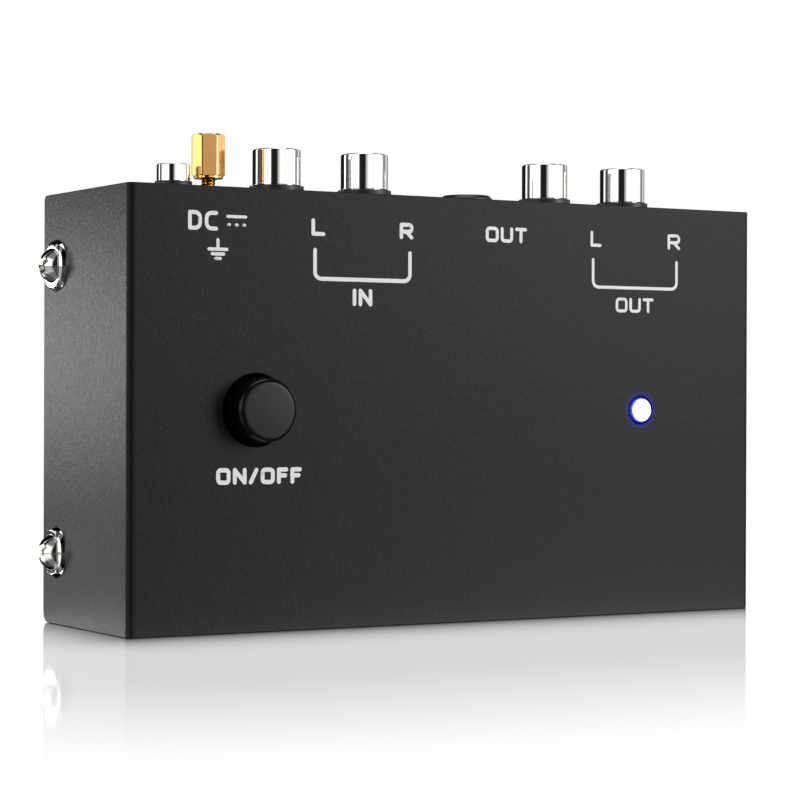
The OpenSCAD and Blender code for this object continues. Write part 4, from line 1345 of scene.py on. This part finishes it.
@dataclass
class GroundTerminal:
    """The ground terminal: a threaded stud with a hexagonal brass thumb nut and its washer."""

    flats: float = 5.0
    rest_angle: float = -22.0
    bevel: float = 0.4
    foot_bevel: float = 0.14
    corner_turn: float = 0.08
    top_ease: float = 0.12
    bore: float = 1.28
    bore_ease: float = 0.15
    cap: float = 1.0
    nut_sides: int = 144
    bevel_rings: int = 7
    wall_rings: int = 7
    washer_room: float = 0.2
    stud_radius: float = 1.25
    head_radius: float = 2.2
    head_height: float = 1.4
    head_ease: tuple[float, float] = (0.3, 0.4)
    neck: float = 0.6
    pitch: float = 0.45
    thread_depth: float = 0.2
    thread_steps: int = 8
    # How far the stud's end is smaller in radius, and where its thread stops below the end.
    tip: tuple[float, float] = (0.25, 0.3)
    stud_sides: int = 64

    def __post_init__(self) -> None:
        """Reads the axis from the frame."""
        self.axis = node_middle("ground_nut")[:2]

    def hexagon(self) -> np.ndarray:
        """Radius of the hexagon at each angle: half the flats over the cosine of the angle off a flat."""
        angle = np.linspace(0.0, TAU, self.nut_sides, endpoint=False) - math.radians(self.rest_angle)
        return self.flats / 2 / np.cos((angle + TAU) % (TAU / 6) - TAU / 12)

    def nut(self) -> None:
        """The nut: at each height its radius is the least of the hexagon, the bar it was turned from
        and the cone of the bevel at its ends."""
        low, high = node_box("ground_nut")
        height = high[2] - low[2]
        corner = self.flats / 2 / math.cos(math.pi / 6)
        steps = np.linspace(0.0, 1.0, self.bevel_rings)
        wall = np.linspace(self.foot_bevel, height - self.bevel, self.wall_rings + 2)[1:-1]
        heights = np.concatenate([self.foot_bevel * steps, wall, height - self.bevel * steps[::-1]])
        cone = corner + np.minimum(np.minimum(heights - self.foot_bevel, height - heights - self.bevel), 0.0)
        outer = np.minimum(self.hexagon()[None], np.minimum(cone, corner - self.corner_turn)[:, None])
        one = np.ones(self.nut_sides)
        foot = [one * r for r in (0.0, self.bore, self.bore, self.bore + self.bore_ease)]
        top = [outer[-1] * (1 - self.top_ease / (corner - self.bevel)), one * self.stud_radius, one * 0]
        levels = [height - self.cap, height - self.cap, self.bore_ease, 0.0, *heights] + [height] * 3
        shape = turned(np.vstack(foot + [outer] + top), levels, self.nut_sides)
        add_piece("ground_hex_nut", shape.placed(Facing.UP, (*self.axis, low[2])), BRASS, Body.NUT,
                  ["ground_nut"], sharp=24)

    def washer(self) -> None:
        """The captive washer under the nut."""
        low, high = node_box("ground_washer")
        radius, hole = (high - low)[0] / 2, self.stud_radius + self.washer_room
        ring = turned_ring([(hole, low[2], 0.05), (radius, low[2], 0.12), (radius, high[2], 0.12),
                            (hole, high[2], 0.05)])
        add_piece("ground_captive_washer", ring.placed(Facing.UP, (*self.axis, 0)), BRASS, Body.WASHER,
                  ["ground_washer"])

    def stud(self) -> None:
        """The stud: a radius that falls by the thread's depth over each pitch, with the starting angle
        turning once for each pitch of height."""
        low, high = node_box("ground_screw")
        seat = low[2] + self.head_height
        heights = np.arange(seat + self.neck, high[2] - self.tip[1], self.pitch / self.thread_steps)
        angle = np.linspace(0.0, 1.0, self.stud_sides, endpoint=False)
        phase = (heights[:, None] / self.pitch - angle) % 1.0
        thread = self.stud_radius - self.thread_depth * (1.0 - np.abs(2.0 * phase - 1.0))
        one = np.ones((1, self.stud_sides))
        head = np.array([0, self.head_radius - self.head_ease[0], self.head_radius, self.head_radius,
                         self.stud_radius, self.stud_radius])[:, None] * one
        rows = np.vstack([head, thread, one * (self.stud_radius - self.tip[0]), one * 0])
        levels = [low[2], low[2], low[2] + self.head_ease[1], seat, seat, seat + self.neck, *heights,
                  high[2], high[2]]
        add_piece("ground_threaded_stud",
                  turned(rows, levels, self.stud_sides).placed(Facing.UP, (*self.axis, 0)),
                  BRASS, Body.CASE, ["ground_screw"], sharp=50)

    def build(self) -> None:
        """Makes the terminal's pieces."""
        self.nut()
        self.washer()
        self.stud()
        dress(TIN, "ground_lug")
        dress(WIRE, "ground_wire")


@dataclass
class PowerButton:
    """The push button's cap with its hidden skirt, the switch behind it and the return spring."""

    edge: float = 1.15
    radius: float = 5.35
    dome: float = 0.12
    skirt_back: float = 1.7
    skirt: float = 1.0
    skirt_slope: float = 0.75
    foot_radius: float = 2.7
    socket: float = 1.75
    socket_floor: float = 2.5
    sides: int = 128
    wire: float = 0.5
    turns: int = 4
    joint: str = "power_button_press"

    def cap(self) -> None:
        """The cap: a turned face and skirt, whose back holds a square socket, the radius there being
        half the square's width over the larger of the angle's cosine and sine."""
        low, high = node_box("power_button")
        middle, length = (low + high) / 2, high[1] - low[1]
        rim = (high - low)[0] / 2
        front = length - (node_box("cover")[0][1] + self.skirt_back - low[1])
        back = front - self.skirt
        angle = np.linspace(0.0, TAU, self.sides, endpoint=False)
        square = self.socket / np.maximum(np.abs(np.cos(angle)), np.abs(np.sin(angle)))
        profile = eased([(0, length, 0), (self.radius, length, self.edge), (self.radius, front, 0.05),
                         (rim, front - self.skirt_slope * self.skirt, 0.1), (rim, back, 0.1),
                         (self.radius, back, 0.05), (self.radius, 0, 0.15), (self.foot_radius, 0, 0)],
                        steps=12)
        radii, heights = profile.T
        dish = self.dome * np.clip(1.0 - radii / self.radius, 0.0, 1.0) * (heights > length - NEAR)
        rows = np.vstack([radii[:, None] * np.ones(self.sides), square, square, 0 * square])
        levels = [*(heights - dish), 0, length - self.socket_floor, length - self.socket_floor]
        shape = turned(rows, levels, self.sides).placed(Facing.FRONT, (middle[0], high[1], middle[2]))
        add_piece("power_button_cap", shape, BUTTON_ABS, Body.BUTTON, ["power_button"], sharp=40)

    def spring(self) -> None:
        """The return spring round the stem, which the cap squeezes against the switch as it goes in."""
        low, high = node_box("switch_spring")
        length = high[1] - low[1]
        seat = ((low + high)[0] / 2, high[1], (low + high)[2] / 2)
        wound = coil((high - low)[0] / 2 - self.wire / 2, self.wire, length, self.turns)
        piece = add_piece("switch_coil_spring", wound.placed(Facing.FRONT, seat), SPRING_STEEL, Body.CASE,
                          ["switch_spring"], sharp=60)
        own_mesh(piece)

    def build(self) -> None:
        """Makes the button's pieces."""
        self.cap()
        self.spring()
        soften("switch_body", BLACK_NYLON, 0.2)
        dress(WHITE_NYLON, "switch_stem")
        dress(TIN, "switch_pins")


@dataclass
class PowerLight:
    """The 5 mm blue light and its leads."""

    rim: float = 1.0
    barrel_radius: float = 2.5
    rings: int = 25

    def lens(self) -> None:
        """The lens: a rim, a barrel and a half sphere, whose profile is (R sin a, R cos a)."""
        low, high = node_box("led_lens")
        middle, length = (low + high) / 2, high[1] - low[1]
        radius, ball = (high - low)[0] / 2, self.barrel_radius
        angle = np.linspace(0, math.pi / 2, self.rings)
        foot = eased([(ball, self.rim, 0), (radius, self.rim, 0.1), (radius, 0, 0.1), (0, 0, 0)])
        radii = np.concatenate([ball * np.sin(angle), foot[:, 0]])
        heights = np.concatenate([length - ball + ball * np.cos(angle), foot[:, 1]])
        finish = LitLens("lit_clear_blue_epoxy", "lens_epoxy", (float(middle[0]), float(middle[2])))
        shape = turned(radii, heights).placed(Facing.FRONT, (middle[0], high[1], middle[2]))
        add_piece("led_domed_lens", shape, finish, Body.CASE, ["led_lens"])

    def build(self) -> None:
        """Makes the light's pieces."""
        self.lens()
        dress(TIN, "led_leads")


@dataclass
class CircuitBoard:
    """The board with its small parts, standoffs and screws, all inside the case."""

    resin_ease: float = 0.3
    chip_ease: float = 0.1

    def build(self) -> None:
        """Eases the moulded parts' edges and gives every part its finish."""
        for finish, node in ((MASK, "main_board"), (BRASS, "board_standoffs"), (ZINC, "board_screws"),
                             (SLEEVE, "electrolytic_capacitors"), (CERAMIC, "ceramic_capacitors"),
                             (ENAMEL, "resistors"), (CHIP_EPOXY, "rectifier_diode"),
                             (CHIP_EPOXY, "voltage_regulator")):
            dress(finish, node)
        soften("film_capacitors", FILM_RESIN, self.resin_ease)
        soften("op_amps", CHIP_EPOXY, self.chip_ease)


# ---------- studio ----------


@dataclass(frozen=True)
class SoftBox:
    """A square lamp: its place and the point that it faces, its width and its power in watts."""

    name: str
    at: tuple[float, float, float]
    aim: tuple[float, float, float]
    size: float
    power: float

    def hang(self) -> None:
        """Adds the lamp to the scene, turned to the point that it faces."""
        data = bpy.data.lights.new(self.name, "AREA")
        data.size = self.size * MM
        data.energy = self.power
        lamp = bpy.data.objects.new(self.name, data)
        way = (Vector(self.aim) - Vector(self.at)).normalized()
        turn = way.to_track_quat("-Z", "Y").to_matrix().to_4x4()
        lamp.matrix_world = Matrix.Translation(Vector(self.at) * MM) @ turn
        bpy.context.scene.collection.objects.link(lamp)


@dataclass
class Studio:
    """The camera, the room's light and the floor."""

    camera_at: tuple[float, float, float] = (-231.74, -390.31, 38.93)
    yaw: float = 30.4917
    pitch: float = 0.095
    roll: float = 0.186
    focal: float = 2550.2
    frame_width: float = 800.0
    sensor: float = 36.0
    floor_reach: float = 6000.0
    floor_drop: float = 0.02
    mirror: float = 0.36
    mirror_full: float = 50.0
    mirror_reach: float = 165.0
    mirror_roughness: float = 0.06
    # A stronger mirror at the foot, as painted shade: the face's dark reflection there stands in for a
    # contact shadow.
    contact: float = 0.62
    contact_shade_reach: float = 34.0
    contact_shade_fall: float = 3.0
    floor_glow: float = 0.965
    floor_in_gloss: float = 0.02
    polish_in_gloss: float = 0.2
    floor_tone: str = "#606060"
    room_gain: float = 2.5
    ceiling: float = 0.1
    ceiling_from: float = 22.0
    ceiling_to: float = 42.0
    # Brightness of the room round the object: degrees from the camera's side, leftwards negative.
    room: tuple[tuple[float, float], ...] = (
        (-180, 1.0), (-168, 1.0), (-165, 0.01), (-114, 0.01), (-111, 2.3), (-104, 2.3), (-101, 0.06),
        (-84, 0.1), (-78, 2.2), (-29, 2.2), (-22, 0.02), (3, 0.01), (7, 0.1), (11, 0.6), (16, 0.75),
        (22, 1.3), (46, 1.2), (80, 1.2), (99, 1.3), (106, 0.3), (126, 0.3), (130, 1.3), (136, 1.3),
        (141, 0.15), (160, 0.2), (168, 1.0), (180, 1.0))
    lamps: tuple[SoftBox, ...] = (SoftBox("front_right_box", (430, -570, 180), (30, -17, 50), 330, 2.05),
                                  SoftBox("side_panel", (-182, 275, 52), (-62, 0, 42), 60, 0.15),
                                  SoftBox("top_box", (0, -20, 650), (0, 0, 0), 420, 1.4))

    def camera(self) -> None:
        """Sets the camera from its place, turn and focal length."""
        yaw, pitch, roll = (math.radians(a) for a in (self.yaw, self.pitch, self.roll))
        ahead = Vector((math.sin(yaw) * math.cos(pitch), math.cos(yaw) * math.cos(pitch), -math.sin(pitch)))
        level = Vector((math.cos(yaw), -math.sin(yaw), 0.0))
        above = level.cross(ahead)
        right = math.cos(roll) * level + math.sin(roll) * above
        up = -math.sin(roll) * level + math.cos(roll) * above
        data = bpy.data.cameras.new("studio_camera")
        data.sensor_width = self.sensor
        data.lens = self.focal * self.sensor / self.frame_width
        data.clip_start = 0.01
        data.clip_end = 50.0
        camera = bpy.data.objects.new("studio_camera", data)
        turn = Matrix((right, up, -ahead)).transposed().to_4x4()
        camera.matrix_world = Matrix.Translation(Vector(self.camera_at) * MM) @ turn
        bpy.context.scene.collection.objects.link(camera)
        bpy.context.scene.camera = camera

    def world(self) -> None:
        """White behind the object, and for its reflections a room with dark flags and soft boxes."""
        world = bpy.data.worlds.new("studio_room")
        bpy.context.scene.world = world
        world.use_nodes = True
        tree = world.node_tree
        tree.nodes.clear()
        heading = math.atan2(self.camera_at[1], self.camera_at[0])
        direction = add_node(tree, "TexCoord").outputs["Generated"]
        facing = add_node(tree, "Mapping", {"Vector": direction, "Rotation": (0.0, 0.0, -heading)})
        around = add_node(tree, "TexGradient", {"Vector": facing.outputs[0]}, gradient_type="RADIAL")
        ramp = add_node(tree, "ValToRGB", {"Fac": around.outputs["Fac"]})
        set_stops(ramp, [(0.5 + angle / 360.0, (level / self.room_gain,) * 3 + (1.0,))
                         for angle, level in self.room])
        gain = add_node(tree, "MapRange", {
            "Value": add_node(tree, "SeparateXYZ", {0: direction}).outputs["Z"],
            "From Min": math.sin(math.radians(self.ceiling_from)),
            "From Max": math.sin(math.radians(self.ceiling_to)),
            "To Min": self.room_gain, "To Max": self.room_gain * self.ceiling})
        room = add_node(tree, "Background", {"Color": ramp.outputs[0], "Strength": gain.outputs[0]})
        white = add_node(tree, "Background", {"Color": WHITE, "Strength": 1.0})
        path = add_node(tree, "LightPath").outputs
        seen = chain(tree, "Math", path["Is Camera Ray"], ("MAXIMUM", path["Is Transmission Ray"]))
        both = add_node(tree, "MixShader", {0: seen, 1: room.outputs[0], 2: white.outputs[0]})
        add_node(tree, "OutputWorld", {"Surface": both.outputs[0]})

    def floor_material(self) -> bpy.types.Material:
        """White acrylic, with a faint mirror that fades out in front of the case.

        The distance from the case is the length of max(|p - middle| - half, 0), its box's middle and
        half in plan. The mirror is stronger where the case stands, as painted shade: its dark reflection of
        the face there stands in for a contact shadow. Glossy rays see more of the mirror.

        Returns:
            The material.
        """
        low, high = (corner * MM for corner in node_box("cover"))
        middle, half = (low + high) / 2, (high - low) / 2
        material = bpy.data.materials.new("white_acrylic_floor")
        material.use_nodes = True
        tree = material.node_tree
        tree.nodes.clear()
        distance = chain(tree, "VectorMath", add_node(tree, "TexCoord").outputs["Object"],
                         ("SUBTRACT", (middle[0], middle[1], 0.0)), ("ABSOLUTE",),
                         ("SUBTRACT", (half[0], half[1], 1.0)), ("MAXIMUM", (0.0, 0.0, 0.0)), ("LENGTH",))
        share = add_node(tree, "MapRange", {"Value": distance, "From Min": self.mirror_full * MM,
                                            "From Max": self.mirror_reach * MM, "To Min": self.mirror,
                                            "To Max": 0.0}, interpolation_type="SMOOTHSTEP")
        # Painted shade: the mirror grows towards the foot, so that it reads as a contact shadow.
        close = add_node(tree, "MapRange", {"Value": distance, "From Max": self.contact_shade_reach * MM,
                                            "To Min": 1.0, "To Max": 0.0})
        seen = chain(tree, "Math", close.outputs[0], ("POWER", self.contact_shade_fall),
                     ("MULTIPLY_ADD", self.contact, share.outputs[0]))
        path = add_node(tree, "LightPath").outputs
        whole = add_node(tree, "Math", {0: path["Is Glossy Ray"], 1: self.polish_in_gloss, 2: seen},
                         operation="MULTIPLY_ADD", use_clamp=True)
        dim = chain(tree, "Math", path["Is Glossy Ray"], ("MULTIPLY", self.floor_in_gloss))
        level = chain(tree, "Math", path["Is Camera Ray"], ("MULTIPLY_ADD", self.floor_glow, dim))
        shown = add_node(tree, "Emission", {"Color": WHITE, "Strength": level})
        paint = add_node(tree, "BsdfDiffuse", {"Color": linear(self.floor_tone)})
        base = add_node(tree, "AddShader", {0: paint.outputs[0], 1: shown.outputs[0]})
        gloss = add_node(tree, "BsdfGlossy", {"Color": WHITE, "Roughness": self.mirror_roughness})
        surface = add_node(tree, "MixShader", {0: whole.outputs[0], 1: base.outputs[0],
                                               2: gloss.outputs[0]})
        add_node(tree, "OutputMaterial", {"Surface": surface.outputs[0]})
        return material

    def floor(self) -> None:
        """A plain white floor, a hair under the case."""
        ends = (-self.floor_reach, self.floor_reach)
        shape = grid(np.array([[(x, y, -self.floor_drop) for x in ends] for y in ends]))
        mesh = bpy.data.meshes.new("studio_floor")
        mesh.from_pydata((shape.points * MM).tolist(), [], shape.faces)
        mesh.materials.append(self.floor_material())
        floor = bpy.data.objects.new("studio_floor", mesh)
        bpy.context.scene.collection.objects.link(floor)

    def build(self) -> None:
        """Sets up the studio."""
        bpy.context.scene.view_settings.view_transform = "Standard"
        self.camera()
        self.world()
        self.floor()
        for lamp in self.lamps:
            lamp.hang()


def main() -> None:
    """Builds the studio and each sub-assembly in order."""
    logging.basicConfig(level=logging.INFO, format="%(name)s: %(message)s")
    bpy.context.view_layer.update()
    Studio().build()
    Case().build()
    for name in JACKS:
        PhonoJack(name, WHITE_NYLON if name.endswith("left") else RED_NYLON).build()
    StereoJack().build()
    PowerSocket().build()
    GroundTerminal().build()
    PowerButton().build()
    PowerLight().build()
    CircuitBoard().build()


if __name__ == "__main__":
    main()
